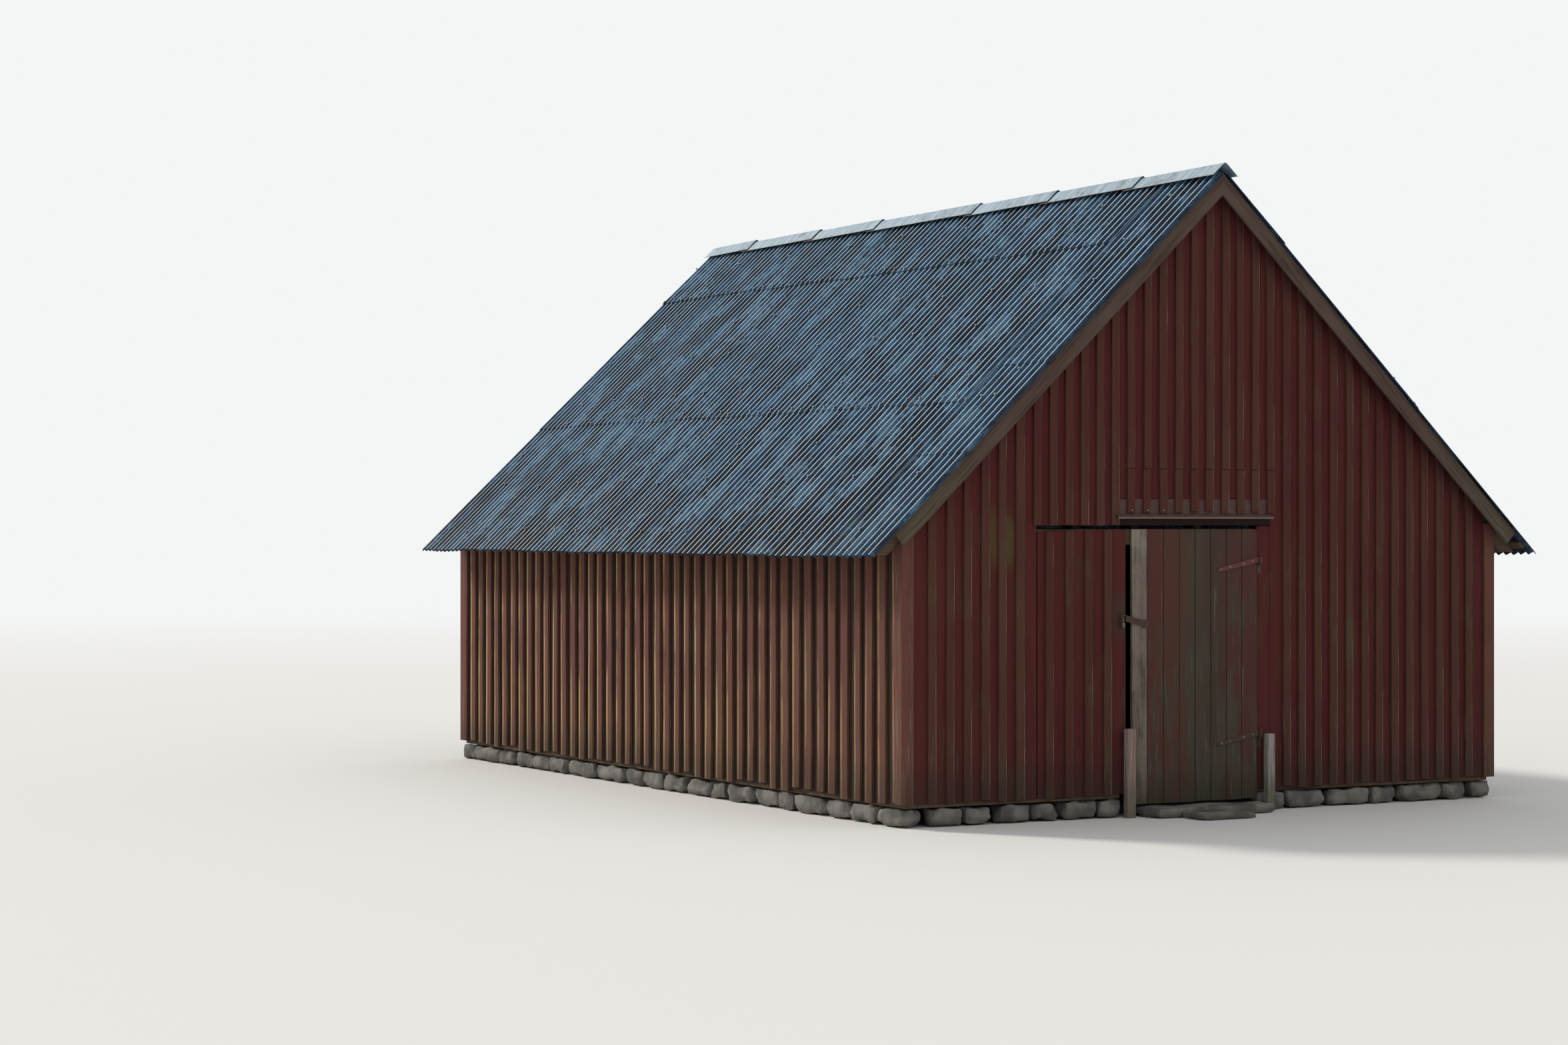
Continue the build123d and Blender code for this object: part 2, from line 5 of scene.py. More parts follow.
import bmesh
import bpy
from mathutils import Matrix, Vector, noise


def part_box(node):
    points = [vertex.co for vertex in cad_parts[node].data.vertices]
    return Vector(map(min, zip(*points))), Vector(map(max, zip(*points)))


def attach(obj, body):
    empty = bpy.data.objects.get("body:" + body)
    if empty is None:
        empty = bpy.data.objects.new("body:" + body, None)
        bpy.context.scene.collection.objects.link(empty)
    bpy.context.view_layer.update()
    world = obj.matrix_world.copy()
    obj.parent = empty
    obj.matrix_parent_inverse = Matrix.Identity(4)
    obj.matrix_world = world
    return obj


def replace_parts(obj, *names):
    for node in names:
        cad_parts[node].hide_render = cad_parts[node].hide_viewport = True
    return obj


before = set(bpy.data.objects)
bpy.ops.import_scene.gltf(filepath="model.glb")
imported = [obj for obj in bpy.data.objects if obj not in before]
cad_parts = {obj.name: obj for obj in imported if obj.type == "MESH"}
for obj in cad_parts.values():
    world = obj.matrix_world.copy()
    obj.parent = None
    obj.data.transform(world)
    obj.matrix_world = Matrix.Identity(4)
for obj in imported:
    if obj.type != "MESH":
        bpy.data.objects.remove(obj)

scene = bpy.context.scene
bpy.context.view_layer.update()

# The camera stands well off the near left corner of the barn, a little above a person's head. It looks
# level, so that the corners of the walls stay upright.
def enter(name, data):
    """Puts an object in the scene."""
    made = bpy.data.objects.new(name, data)
    scene.collection.objects.link(made)
    return made


camera_data = bpy.data.cameras.new("camera")
camera_data.lens = 73.0
camera_data.sensor_width = 36
camera_data.shift_y = 0.0017
camera_data.clip_end = 1000
camera = enter("camera", camera_data)
camera.location = (-15.289, -24.609, 2.30)
camera_heading = math.radians(28.9)
camera.rotation_euler = (math.radians(90), 0, -camera_heading)
scene.camera = camera
scene.view_settings.view_transform = "Standard"


# Plain pale ground that runs out into a pale backdrop, which also gives the fill light. A soft low lamp
# stands behind the barn's left side, so the long wall is lit and the door gable lies in soft shade.
class Wire:
    """An output in a node tree. Arithmetic on wires and numbers adds Math nodes."""

    def __init__(self, tree, socket=None):
        self.tree = tree
        self.socket = socket

    def node(self, kind, settings=(), sockets=(), output=0):
        """Adds a node, makes its settings first and then sets or links its sockets."""
        made = self.tree.nodes.new(kind)
        for name, value in dict(settings).items():
            if name == "stops":
                ramp = made.color_ramp
                while len(ramp.elements) < len(value):
                    ramp.elements.new(1)
                for stop, (place, colour) in zip(ramp.elements, value):
                    stop.position = place
                    stop.color = (*colour, 1)
            else:
                setattr(made, name, value)
        for name, value in dict(sockets).items():
            if isinstance(value, Wire):
                self.tree.links.new(value.socket, made.inputs[name])
            else:
                made.inputs[name].default_value = value
        return Wire(self.tree, made.outputs[output])

    def math(self, operation, *values):
        return self.node("ShaderNodeMath", {"operation": operation}, dict(enumerate(values)))

    def __add__(self, other):
        return self.math("ADD", self, other)

    def __sub__(self, other):
        return self.math("SUBTRACT", self, other)

    def __rsub__(self, other):
        return self.math("SUBTRACT", other, self)

    def __mul__(self, other):
        return self.math("MULTIPLY", self, other)

    def __truediv__(self, other):
        return self.math("DIVIDE", self, other)

    __radd__ = __add__
    __rmul__ = __mul__

    def axis(self, name):
        return self.node("ShaderNodeSeparateXYZ", (), {0: self}, name)

    def point(self, x, y, z):
        return self.node("ShaderNodeCombineXYZ", (), {0: x, 1: y, 2: z})

    def stored(self, name):
        """A number that the mesh carries under a name, read in a material."""
        return self.node("ShaderNodeAttribute", {"attribute_name": name}, output="Fac")

    def rising(self, low, high):
        """0 below low, 1 above high and a smooth rise between them."""
        sockets = {"Value": self, "From Min": low, "From Max": high}
        return self.node("ShaderNodeMapRange", {"interpolation_type": "SMOOTHSTEP"}, sockets)

    def stretched(self, x, y, z):
        return self.node("ShaderNodeVectorMath", {"operation": "MULTIPLY"}, {0: self, 1: (x, y, z)})

    def mottle(self, scale, detail=3, roughness=0.5):
        """Soft noise around 0.5. Its scale is one number, or three that stretch it along x, y and z."""
        place = self
        if isinstance(scale, tuple):
            place, scale = self.stretched(*scale), 1
        sockets = {"Vector": place, "Scale": scale, "Detail": detail, "Roughness": roughness}
        return self.node("ShaderNodeTexNoise", (), sockets)

    def between(self, first, second):
        """The colour at this share of the way from the first colour to the second."""
        ends = [(*c, 1) if isinstance(c, tuple) else c for c in (first, second)]
        return self.node("ShaderNodeMix", {"data_type": "RGBA"}, {0: self, 6: ends[0], 7: ends[1]}, 2)

    def shades(self, first, second):
        """Noise spread over the colours from the first to the second."""
        return self.rising(0.3, 0.7).between(first, second)


def surface(name):
    """A new material, its Object coordinates and its shader."""
    made = bpy.data.materials.new(name)
    made.use_nodes = True
    place = Wire(made.node_tree).node("ShaderNodeTexCoord", output="Object")
    return made, place, made.node_tree.nodes["Principled BSDF"]


def feed(shader, colour, roughness, relief=None, depth=0.003, metallic=0.0, specular=0.5):
    """Gives a shader its colour, its roughness and a relief that is depth metres high."""
    links = {"Base Color": colour, "Roughness": roughness, "Metallic": metallic,
             "Specular IOR Level": specular}
    if relief:
        links["Normal"] = relief.node("ShaderNodeBump", (), {"Height": relief, "Distance": depth})
    for name, value in links.items():
        if isinstance(value, Wire):
            value.tree.links.new(value.socket, shader.inputs[name])
        else:
            shader.inputs[name].default_value = value


backdrop = (0.905, 0.915, 0.92)
floor_colour = (0.78, 0.775, 0.76)
floor_size = 300
floor_mesh = bpy.data.meshes.new("floor")
corners = [(x * floor_size, y * floor_size, 0) for x, y in ((-1, -1), (1, -1), (1, 1), (-1, 1))]
floor_mesh.from_pydata(corners, [], [(0, 1, 2, 3)])
floor = enter("floor", floor_mesh)
floor_finish, ground, plain = surface("floor")
feed(plain, (*floor_colour, 1), 0.9)
far_off = ground.node("ShaderNodeVectorMath", {"operation": "LENGTH"}, {0: ground}, "Value").rising(14, 60)
glow = ground.node("ShaderNodeEmission", (), {"Color": (*backdrop, 1), "Strength": 1})
joined = ground.node("ShaderNodeMixShader", (),
                     {0: far_off, 1: Wire(ground.tree, plain.outputs[0]), 2: glow})
ground.tree.links.new(joined.socket, ground.tree.nodes["Material Output"].inputs["Surface"])
floor_mesh.materials.append(floor_finish)

world = bpy.data.worlds.new("studio")
world.use_nodes = True
scene.world = world
world_tree = world.node_tree
seen = rays = Wire(world_tree).node("ShaderNodeLightPath", output="Is Camera Ray")
for kind in ("Is Glossy Ray", "Is Transmission Ray"):
    seen = seen.math("MAXIMUM", seen, Wire(world_tree, rays.socket.node.outputs[kind]))
fill_strength = 0.68
strength = fill_strength + (1 - fill_strength) * seen
light = world_tree.nodes["Background"]
light.inputs["Color"].default_value = (*backdrop, 1)
world_tree.links.new(strength.socket, light.inputs["Strength"])

key_data = bpy.data.lights.new("key", "SUN")
key_data.energy = 2.3
key_data.angle = math.radians(10)
key_data.color = (1.0, 0.95, 0.87)
key = enter("key", key_data)
key.rotation_euler = Vector((-0.44, 0.72, 0.54)).to_track_quat("Z", "Y").to_euler()


# Footing of dry field stones under the sills, and the flat stones at the doorway. They are rough grey
# stones with blunt corners, laid without mortar, with soil and some lichen on them.
def place_mesh(name, mesh, body, material=None, smooth=35):
    """An object at the origin that holds a mesh and moves with a body."""
    made = enter(name, mesh)
    if material:
        mesh.materials.clear()
        mesh.materials.append(material)
    mesh.shade_smooth()
    mesh.set_sharp_from_angle(angle=math.radians(smooth))
    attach(made, body)
    return made


stone, place, shader = surface("field_stone")
large = place.mottle(6, 4)
fine = place.mottle(55, 5, 0.65)
tint = large.rising(0.35, 0.65).between((0.095, 0.09, 0.083), (0.22, 0.205, 0.185))
lichen = place.mottle(9, 6, 0.7).rising(0.58, 0.68) * 0.6
tint = lichen.between(tint, (0.20, 0.21, 0.13))
soil = (1 - place.axis("Z").rising(0.0, 0.07)) * 0.7
tint = soil.between(tint, (0.085, 0.065, 0.045))
feed(shader, tint, 0.9, fine + large, 0.012)


def rough_stones(name, boxes, roundness, relief, seed):
    """A mesh of blunt stones that fill boxes, each given as its lowest and highest corner."""
    points, faces = [], []
    steps = 7
    ball_size = 1.25
    for number, (low, high) in enumerate(boxes):
        centre = (low + high) / 2
        half = (high - low) / 2
        for axis, side in product(range(3), (-1, 1)):
            first = len(points)
            for i, j in product(range(steps + 1), repeat=2):
                cube = [0, 0, 0]
                cube[axis] = side
                cube[(axis + 1) % 3] = (2 * i / steps - 1) * side
                cube[(axis + 2) % 3] = 2 * j / steps - 1
                ball = Vector(cube).normalized() * ball_size
                blunt = Vector(cube).lerp(ball, roundness)
                spot = centre + Vector(b * h for b, h in zip(blunt, half))
                swell = noise.noise(spot * 7 + Vector((seed, number, 0)))
                swell += 0.4 * noise.noise(spot * 23 + Vector((seed, 0, number)))
                spot += blunt.normalized() * (swell - 0.5) * relief
                points.append([min(max(s, a), b) for s, a, b in zip(spot, low, high)])
            for i, j in product(range(steps), repeat=2):
                a = first + i * (steps + 1) + j
                faces.append((a, a + steps + 1, a + steps + 2, a + 1))
    mesh = bpy.data.meshes.new(name)
    mesh.from_pydata(points, [], faces)
    return closed(mesh)


def closed(mesh):
    """Merges a mesh's doubles and turns its faces outwards."""
    work = bmesh.new()
    work.from_mesh(mesh)
    bmesh.ops.remove_doubles(work, verts=work.verts, dist=0.0002)
    bmesh.ops.recalc_face_normals(work, faces=work.faces)
    work.to_mesh(mesh)
    work.free()
    return mesh


def islands(node):
    """The boxes of a node's separate solids."""
    work = bmesh.new()
    work.from_mesh(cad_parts[node].data)
    bmesh.ops.remove_doubles(work, verts=work.verts, dist=0.0001)
    left = set(work.verts)
    boxes = []
    while left:
        reached, group = [left.pop()], []
        while reached:
            vertex = reached.pop()
            group.append(vertex.co.copy())
            joined = {edge.other_vert(vertex) for edge in vertex.link_edges} & left
            left -= joined
            reached.extend(joined)
        boxes.append((Vector(map(min, *group)), Vector(map(max, *group))))
    work.free()
    return sorted(boxes, key=lambda b: tuple(round(c, 3) for c in b[0]))


rng = random.Random(11)
shortest_stone, longest_stone, least_rest, face_play = 0.26, 0.55, 0.18, 0.02
stone_boxes = []
for low, high in islands("foundation_stones"):
    along = 0 if high.x - low.x > high.y - low.y else 1
    start = low[along]
    while start < high[along] - 0.08:
        end = min(start + rng.uniform(shortest_stone, longest_stone), high[along])
        if high[along] - end < least_rest:
            end = high[along]
        first, last = low.copy(), high.copy()
        first[along], last[along] = start, end
        first[1 - along] += rng.uniform(0, face_play)
        last[1 - along] -= rng.uniform(0, face_play)
        stone_boxes.append((first, last))
        start = end
for name, boxes, roundness, relief, seed, node in (
        ("footing_stones", stone_boxes, 0.5, 0.035, 1, "foundation_stones"),
        ("doorway_stones", islands("door_stones"), 0.14, 0.02, 2, "door_stones")):
    mesh = rough_stones(name, boxes, roundness, relief, seed)
    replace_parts(place_mesh(name, mesh, "barn", stone, 60), node)


# The timber frame: squared softwood posts, sills, plates, rails and rafters, gone brown with age. Their
# edges are worn blunt, and cracks run along them.
def flattened(name, carrier, blunt, angle, segments=1):
    """The plain mesh of an object and its modifiers, with edges blunted where faces turn past the angle."""
    if blunt:
        edge = carrier.modifiers.new("blunt", "BEVEL")
        edge.width = blunt
        edge.segments = segments
        edge.limit_method = "ANGLE"
        edge.angle_limit = math.radians(angle)
    bpy.context.view_layer.update()
    mesh = bpy.data.meshes.new_from_object(carrier.evaluated_get(bpy.context.evaluated_depsgraph_get()))
    bpy.data.objects.remove(carrier)
    mesh.name = name
    return mesh


def eased(name, nodes, body, material, width, segments=1):
    """One piece that stands for CAD nodes, with their edges blunted."""
    work = bmesh.new()
    for node in nodes:
        work.from_mesh(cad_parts[node].data)
    bmesh.ops.remove_doubles(work, verts=work.verts, dist=0.00002)
    bmesh.ops.dissolve_limit(work, angle_limit=0.02, verts=work.verts, edges=work.edges)
    mesh = bpy.data.meshes.new(name)
    work.to_mesh(mesh)
    work.free()
    mesh = flattened(name, enter(name, mesh), width, 40, segments)
    made = place_mesh(name, mesh, body, material)
    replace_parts(made, *nodes)
    return made


def timber(name, grain, brace=None):
    """Bare old softwood. Its grain runs where the stretch is smallest, and along the brace, if any."""
    made, place, shader = surface(name)
    if brace:
        foot, head, angle = brace
        slanted = place.node("ShaderNodeVectorRotate", {"rotation_type": "Y_AXIS"},
                             {0: place, "Angle": angle})
        height = place.axis("Z")
        on_brace = height.rising(foot - 0.002, foot + 0.002) * height.rising(head + 0.002, head - 0.002)
        place = place.node("ShaderNodeMix", {"data_type": "VECTOR"}, {0: on_brace, 4: place, 5: slanted}, 1)
    fibres = place.mottle(grain, 5, 0.6)
    broad = place.mottle(2.5, 3)
    cracks = place.mottle(tuple(g * 0.5 for g in grain), 2, 0.4).rising(0.60, 0.66)
    tint = fibres.shades((0.078, 0.052, 0.034), (0.15, 0.105, 0.068))
    tint = (broad.rising(0.4, 0.7) * 0.5).between(tint, (0.055, 0.038, 0.028))
    tint = (cracks * 0.8).between(tint, (0.02, 0.014, 0.010))
    feed(shader, tint, 0.85, fibres - cracks, 0.004, specular=0.2)
    return made


upright_timber = timber("upright_timber", (70, 70, 3))
level_timber = timber("level_timber", (3, 70, 70))
long_timber = timber("long_timber", (70, 3, 70))
cross_members = ("end_sills", "gable_plates", "tie_beams", "gable_rails", "left_rafters", "right_rafters")
long_members = ("side_sills", "wall_plates", "wall_rails", "left_roof_laths", "right_roof_laths")
for name, members, material in (("frame_posts", ("wall_posts", "gable_posts"), upright_timber),
                                ("frame_cross_timbers", cross_members, level_timber),
                                ("frame_long_timbers", long_members, long_timber)):
    eased(name, members, "barn", material, 0.005)


# Walls of upright boards nailed to the frame. Rough sawn pine about 22 mm thick, painted dark red long ago,
# with a narrower strip nailed over each joint. The long walls have broad raised boards with deep gaps.
def bare_inside(place, fibres, tint):
    """Leaves the inner faces of boards unpainted."""
    bare = fibres.shades((0.060, 0.042, 0.029), (0.135, 0.098, 0.066))
    return place.stored("inward").rising(0.55, 0.9).between(tint, bare)


def painted_wood(name, paint, faded, bare, moss, wear, edge=None, spots=()):
    """Old paint on upright boards, which have a tone each and a place across their width from 0 to 1. An
    edge is where a paler rim starts and ends across the board, its tint and share. A worn spot is its x and
    z, radius, tint and share."""
    made, place, shader = surface(name)
    tone = place.stored("tone")
    across = place.stored("across")
    damp = place.stored("damp")
    height = place.axis("Z")
    fibres = place.mottle((150, 150, 3.5), 4, 0.65)
    streaks = place.mottle((28, 28, 0.9), 3, 0.6)
    broad = place.mottle(1.3, 4, 0.6)
    low = 1 - height.rising(0.2, 1.7)
    lower = 1 - height.rising(1.2, 3.2)
    coat = (tone * 0.45 + broad.rising(0.35, 0.65) * 0.3 + lower * 0.25).between(paint, faded)
    coat = (streaks.rising(0.45, 0.7) * 0.4).between(coat, tuple(c * 0.5 for c in paint))
    rims = across.rising(0.80, 1.0) * 0.4 + (1 - across.rising(0.0, 0.12)) * 0.3
    worn = fibres * 0.5 + streaks * 0.35 + broad * 0.15 + low * 0.07 + rims * 0.13 + tone * 0.05
    worn = worn.rising(0.66 - wear * 0.2, 0.76 - wear * 0.12)
    grain = fibres.rising(0.35, 0.65).between(tuple(c * 0.55 for c in bare), bare)
    tint = (worn * 0.85).between(coat, grain)
    growth = place.stretched(3, 3, 1.1).mottle(1.6, 5, 0.65).rising(0.54, 0.72)
    tint = (growth * (0.2 + 0.4 * lower)).between(tint, moss)
    # A paler rim along one side of each board: worn wood on the strips, and on the long walls' far edges
    # also painted sunlight, which grows towards the far end of the barn.
    if edge:
        start, end, edge_tint, share = edge
        farther = place.axis("Y").rising(-4.0, 0.5) * 0.5 + 0.5
        broken = fibres * 0.35 + streaks * 0.35 + broad * 0.5 + low * 0.10 + farther * 0.12
        rim = (across.rising(start, end) * 0.6 + fibres * 0.8).rising(0.55, 0.85)
        tint = (rim * broken.rising(0.64, 0.78) * farther * share).between(tint, edge_tint)
    for x, z, radius, spot_tint, share in spots:
        reach = place.node("ShaderNodeVectorMath", {"operation": "DISTANCE"},
                           {0: place.stretched(1, 0, 0.7), 1: (x, 0, z * 0.7)}, "Value")
        blot = (reach + (broad - 0.5) * radius * 1.5).rising(radius, radius * 0.3)
        front_only = place.axis("Y").rising(1, -1)
        tint = (blot * front_only * share * streaks.rising(0.25, 0.6)).between(tint, spot_tint)
    # The boards darken towards their foot.
    darker_foot = (1 - height.rising(0.18, 0.6)) * 0.5
    tint = darker_foot.between(tint, (0.025, 0.020, 0.014))
    # Painted shade: where the trim is marked under the drip, the paint is darkened nearly black.
    tint = (damp * 0.92).between(tint, (0.006, 0.005, 0.004))
    tint = bare_inside(place, fibres, tint)
    feed(shader, tint, 0.78 + worn * 0.15, fibres - worn * 0.6, specular=0.2)
    return made


worn_spots = ((-0.90, 1.58, 0.17, (0.050, 0.042, 0.028), 0.8),
              (-2.03, 2.18, 0.26, (0.095, 0.095, 0.025), 0.6))
# The gables' boards and strips are set darker than the old red paint's own colour, as painted shade of the
# gable ends.
shade_darkened_gable_paint = painted_wood("shade_darkened_gable_paint", paint=(0.080, 0.0125, 0.0125), faded=(0.092, 0.020, 0.016),
                           bare=(0.15, 0.11, 0.085), moss=(0.070, 0.036, 0.018), wear=0.1,
                           spots=worn_spots)
shade_darkened_strip_paint = painted_wood("shade_darkened_strip_paint", paint=(0.078, 0.016, 0.0135), faded=(0.088, 0.040, 0.025),
                           bare=(0.16, 0.125, 0.09), moss=(0.080, 0.064, 0.030), wear=0.15,
                           edge=(0.86, 0.96, (0.34, 0.32, 0.27), 0.95))
# The warm pale rims on the long walls' raised boards are partly worn wood and partly painted sunlight.
side_paint = painted_wood("side_paint", paint=(0.110, 0.036, 0.027), faded=(0.125, 0.052, 0.035),
                          bare=(0.22, 0.135, 0.07), moss=(0.09, 0.066, 0.032), wear=0.35,
                          edge=(0.48, 0.06, (0.45, 0.30, 0.14), 0.9))
# The flat boards in the long walls' gaps carry the same old paint, darkened far below the raised boards'
# colour as painted shade of the deep gaps.
shaded_recess_paint = painted_wood("shaded_recess_paint", paint=(0.032, 0.0125, 0.0100), faded=(0.040, 0.020, 0.013),
                            bare=(0.08, 0.05, 0.028), moss=(0.032, 0.026, 0.012), wear=0.2)


def geometry_tree(name, **inputs):
    """A geometry tree with named inputs of each kind, a finish and one output, and wires of its inputs."""
    tree = bpy.data.node_groups.new(name, "GeometryNodeTree")
    for kind, names in {**inputs, "Material": ["Finish"]}.items():
        for input_name in names:
            tree.interface.new_socket(input_name, in_out="INPUT", socket_type="NodeSocket" + kind)
    tree.interface.new_socket("Result", in_out="OUTPUT", socket_type="NodeSocketGeometry")
    entry = tree.nodes.new("NodeGroupInput")
    return tree, {socket.name: Wire(tree, socket) for socket in entry.outputs if socket.name}


def moved(geometry, x, y, z):
    """A geometry whose points are set at new places."""
    return geometry.node("GeometryNodeSetPosition", (),
                         {"Geometry": geometry, "Position": geometry.point(x, y, z)})


def deliver(result, finish):
    """Ends a geometry tree with a plain mesh of one finish."""
    result = result.node("GeometryNodeRealizeInstances", (), {0: result})
    result = result.node("GeometryNodeSetMaterial", (), {"Geometry": result, "Material": finish})
    leave = result.tree.nodes.new("NodeGroupOutput")
    result.tree.links.new(result.socket, leave.inputs["Result"])


def noted(geometry, **numbers):
    """Stores numbers on the points of a geometry under their names."""
    for name, value in numbers.items():
        geometry = geometry.node("GeometryNodeStoreNamedAttribute",
                                 {"data_type": "FLOAT", "domain": "POINT"},
                                 {"Geometry": geometry, "Name": name, "Value": value})
    return geometry


def recall(geometry, *names):
    """Reads the numbers that were stored under names."""
    return [geometry.node("GeometryNodeInputNamedAttribute", {"data_type": "FLOAT"}, {"Name": name})
            for name in names]


def drawn(seed, salt, low=0.0):
    """A random number from low to 1 for each point."""
    point = seed.node("GeometryNodeInputIndex")
    return seed.node("FunctionNodeRandomValue", {"data_type": "FLOAT"},
                     {2: low, 3: 1.0, "ID": point, "Seed": seed + salt}, 1)


def copies(points, shape):
    """A plain copy of a shape for each point, which takes over the point's numbers."""
    placed = points.node("GeometryNodeInstanceOnPoints", (), {"Points": points, "Instance": shape})
    return placed.node("GeometryNodeRealizeInstances", (), {0: placed})


board_tree, given = geometry_tree(
    "upright_boards", Int=["Count", "Seed"], Vector=["Turn", "Wall"],
    Float=["First place", "Spacing", "Width", "Level", "Thickness", "Foot", "Top", "Rake", "Place play",
           "Width play", "Foot play", "Lean play"])
seed = given["Seed"]
line = seed.node("GeometryNodeMeshLine", {"mode": "OFFSET"}, {"Count": given["Count"], "Offset": (0, 0, 0)})
number = seed.node("GeometryNodeInputIndex")
even = given["First place"] + number * given["Spacing"]
line = noted(line,
             centre=even + given["Place play"] * drawn(seed, 0, -1.0),
             breadth=given["Width"] + given["Width play"] * drawn(seed, 1, -1.0),
             tone=drawn(seed, 2),
             foot=given["Foot"] + given["Foot play"] * drawn(seed, 3, -1.0),
             lean=given["Lean play"] * drawn(seed, 4, -1.0),
             stand=drawn(seed, 5))
block = seed.node("GeometryNodeMeshCube", (),
                  {"Size": (1, 1, 1), "Vertices X": 3, "Vertices Y": 2, "Vertices Z": 9})
spot = seed.node("GeometryNodeInputPosition")
block = noted(block, across=spot.axis("X") + 0.5, inward=spot.axis("Y") + 0.5, rise=spot.axis("Z") + 0.5)
boards = copies(line, block)
across, inward, rise = recall(boards, "across", "inward", "rise")
centre, breadth, foot, lean, stand = recall(boards, "centre", "breadth", "foot", "lean", "stand")
plain_x = centre + (across - 0.5) * breadth
top = given["Top"] - given["Rake"] * plain_x.math("ABSOLUTE", plain_x)
z = foot + rise * (top - foot)
along = boards.point(centre * 9, z, 0)
sway = boards.node("ShaderNodeTexNoise", {"noise_dimensions": "2D"},
                   {"Vector": along, "Scale": 1.1, "Detail": 1.0})
x = plain_x + lean * rise + (sway - 0.5) * given["Width play"] * 1.2
warp = stand * 0.0015 + (sway - 0.5) * 0.002
y = (inward - 1) * given["Thickness"] + warp - given["Level"]
boards = moved(boards, x, y, z)
boards = boards.node("GeometryNodeTransform", (),
                     {"Geometry": boards, "Translation": given["Wall"], "Rotation": given["Turn"]})
deliver(boards, given["Finish"])


def grown(name, tree, values, body, base=None, blunt=0.0, thickness=0.0, smooth=35):
    """A piece whose plain mesh a geometry tree makes from named values, with 0 for the rest. Sheets get a
    thickness."""
    carrier = enter(name, base or bpy.data.meshes.new(name))
    nodes = carrier.modifiers.new("growth", "NODES")
    nodes.node_group = tree
    for item in tree.interface.items_tree:
        if item.in_out == "INPUT" and item.name in values:
            nodes[item.identifier] = values[item.name]
    if thickness:
        sheet = carrier.modifiers.new("sheet", "SOLIDIFY")
        sheet.thickness = thickness
        sheet.offset = 0
    mesh = flattened(name, carrier, blunt, 50)
    return place_mesh(name, closed(mesh) if thickness else mesh, body, smooth=smooth)


gable_low, gable_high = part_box("back_wall")
front_low, front_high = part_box("front_wall_left")
right_low, right_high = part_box("front_wall_right")
over_low, over_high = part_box("front_wall_over_door")
header_low, header_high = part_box("door_drip")
front_spans = {"left": (front_low.x, front_high.x, 7), "panel": (over_low.x, header_low.x, 5),
               "header": (header_low.x, over_high.x, 10), "right": (right_low.x, right_high.x, 14)}
front_face = front_high.y
side_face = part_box("left_wall")[1].x
board_depth = 0.022
strip_depth = 0.022
strip_width = 0.074
pitch = math.radians(43.3)
rake = math.tan(pitch)
gable_top = over_high.z - 0.004
clad_foot = gable_low.z


def board_run(name, span, foot, top, slope, wall, seed, joints=None, turn=0.0, finish=shade_darkened_gable_paint,
              strip=strip_width, strip_foot=None, butt=None, gap=0.005, play=1.0, body="barn", node=None,
              depth=board_depth):
    """Boards over a span, which is left end, right end and count, with strips over the joints from first
    to last. The strips are pieced at the height of the butt, if one is given."""
    left, right, count = span
    spacing = (right - left) / count
    values = {"Count": count, "First place": left + spacing / 2, "Spacing": spacing,
              "Width": spacing - gap, "Thickness": depth, "Foot": foot, "Top": top, "Rake": slope,
              "Width play": 0.0015, "Foot play": 0.006 * play, "Turn": (0.0, 0.0, turn), "Wall": wall,
              "Seed": seed, "Finish": finish}
    under = grown(f"{name}_boards", board_tree, values, body, blunt=0.0025)
    if node:
        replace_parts(under, node)
    if joints:
        first, last = joints
        values.update({"Count": last - first + 1, "First place": left + first * spacing, "Width": strip,
                       "Level": depth, "Thickness": strip_depth, "Foot": strip_foot or foot,
                       "Place play": 0.006 * play, "Width play": 0.005 * play, "Foot play": 0.01 * play,
                       "Lean play": 0.004 * play, "Seed": seed + 50, "Finish": shade_darkened_strip_paint})
        if butt:
            crack = 0.0015
            short = {**values, "Top": butt - crack, "Rake": 0.0, "Lean play": 0.0, "Seed": seed + 70}
            grown(f"{name}_short_strips", board_tree, short, body, blunt=0.003)
            values.update({"Foot": butt + crack, "Foot play": 0.0})
        grown(f"{name}_strips", board_tree, values, body, blunt=0.003)


front_wall = (0.0, front_face, 0.0)
strip_over_drip = 0.11
butt_over_door = 2.745
board_run("front_left", front_spans["left"], clad_foot, gable_top, rake, front_wall, 3, (1, 6),
          node="front_wall_left")
board_run("front_right", front_spans["right"], clad_foot, gable_top, rake, front_wall, 5, (1, 13),
          node="front_wall_right")
board_run("over_panel", front_spans["panel"], over_low.z, gable_top, rake, front_wall, 7, (0, 5),
          play=0.3, node="front_wall_over_door")
board_run("over_header", front_spans["header"], header_high.z, gable_top, rake, front_wall, 9, (1, 10),
          strip_foot=header_high.z - strip_over_drip, butt=butt_over_door)
board_run("back", (gable_low.x, gable_high.x, 36), clad_foot, gable_top, rake, (0.0, gable_low.y, 0.0), 13,
          (1, 35), turn=math.pi, node="back_wall")


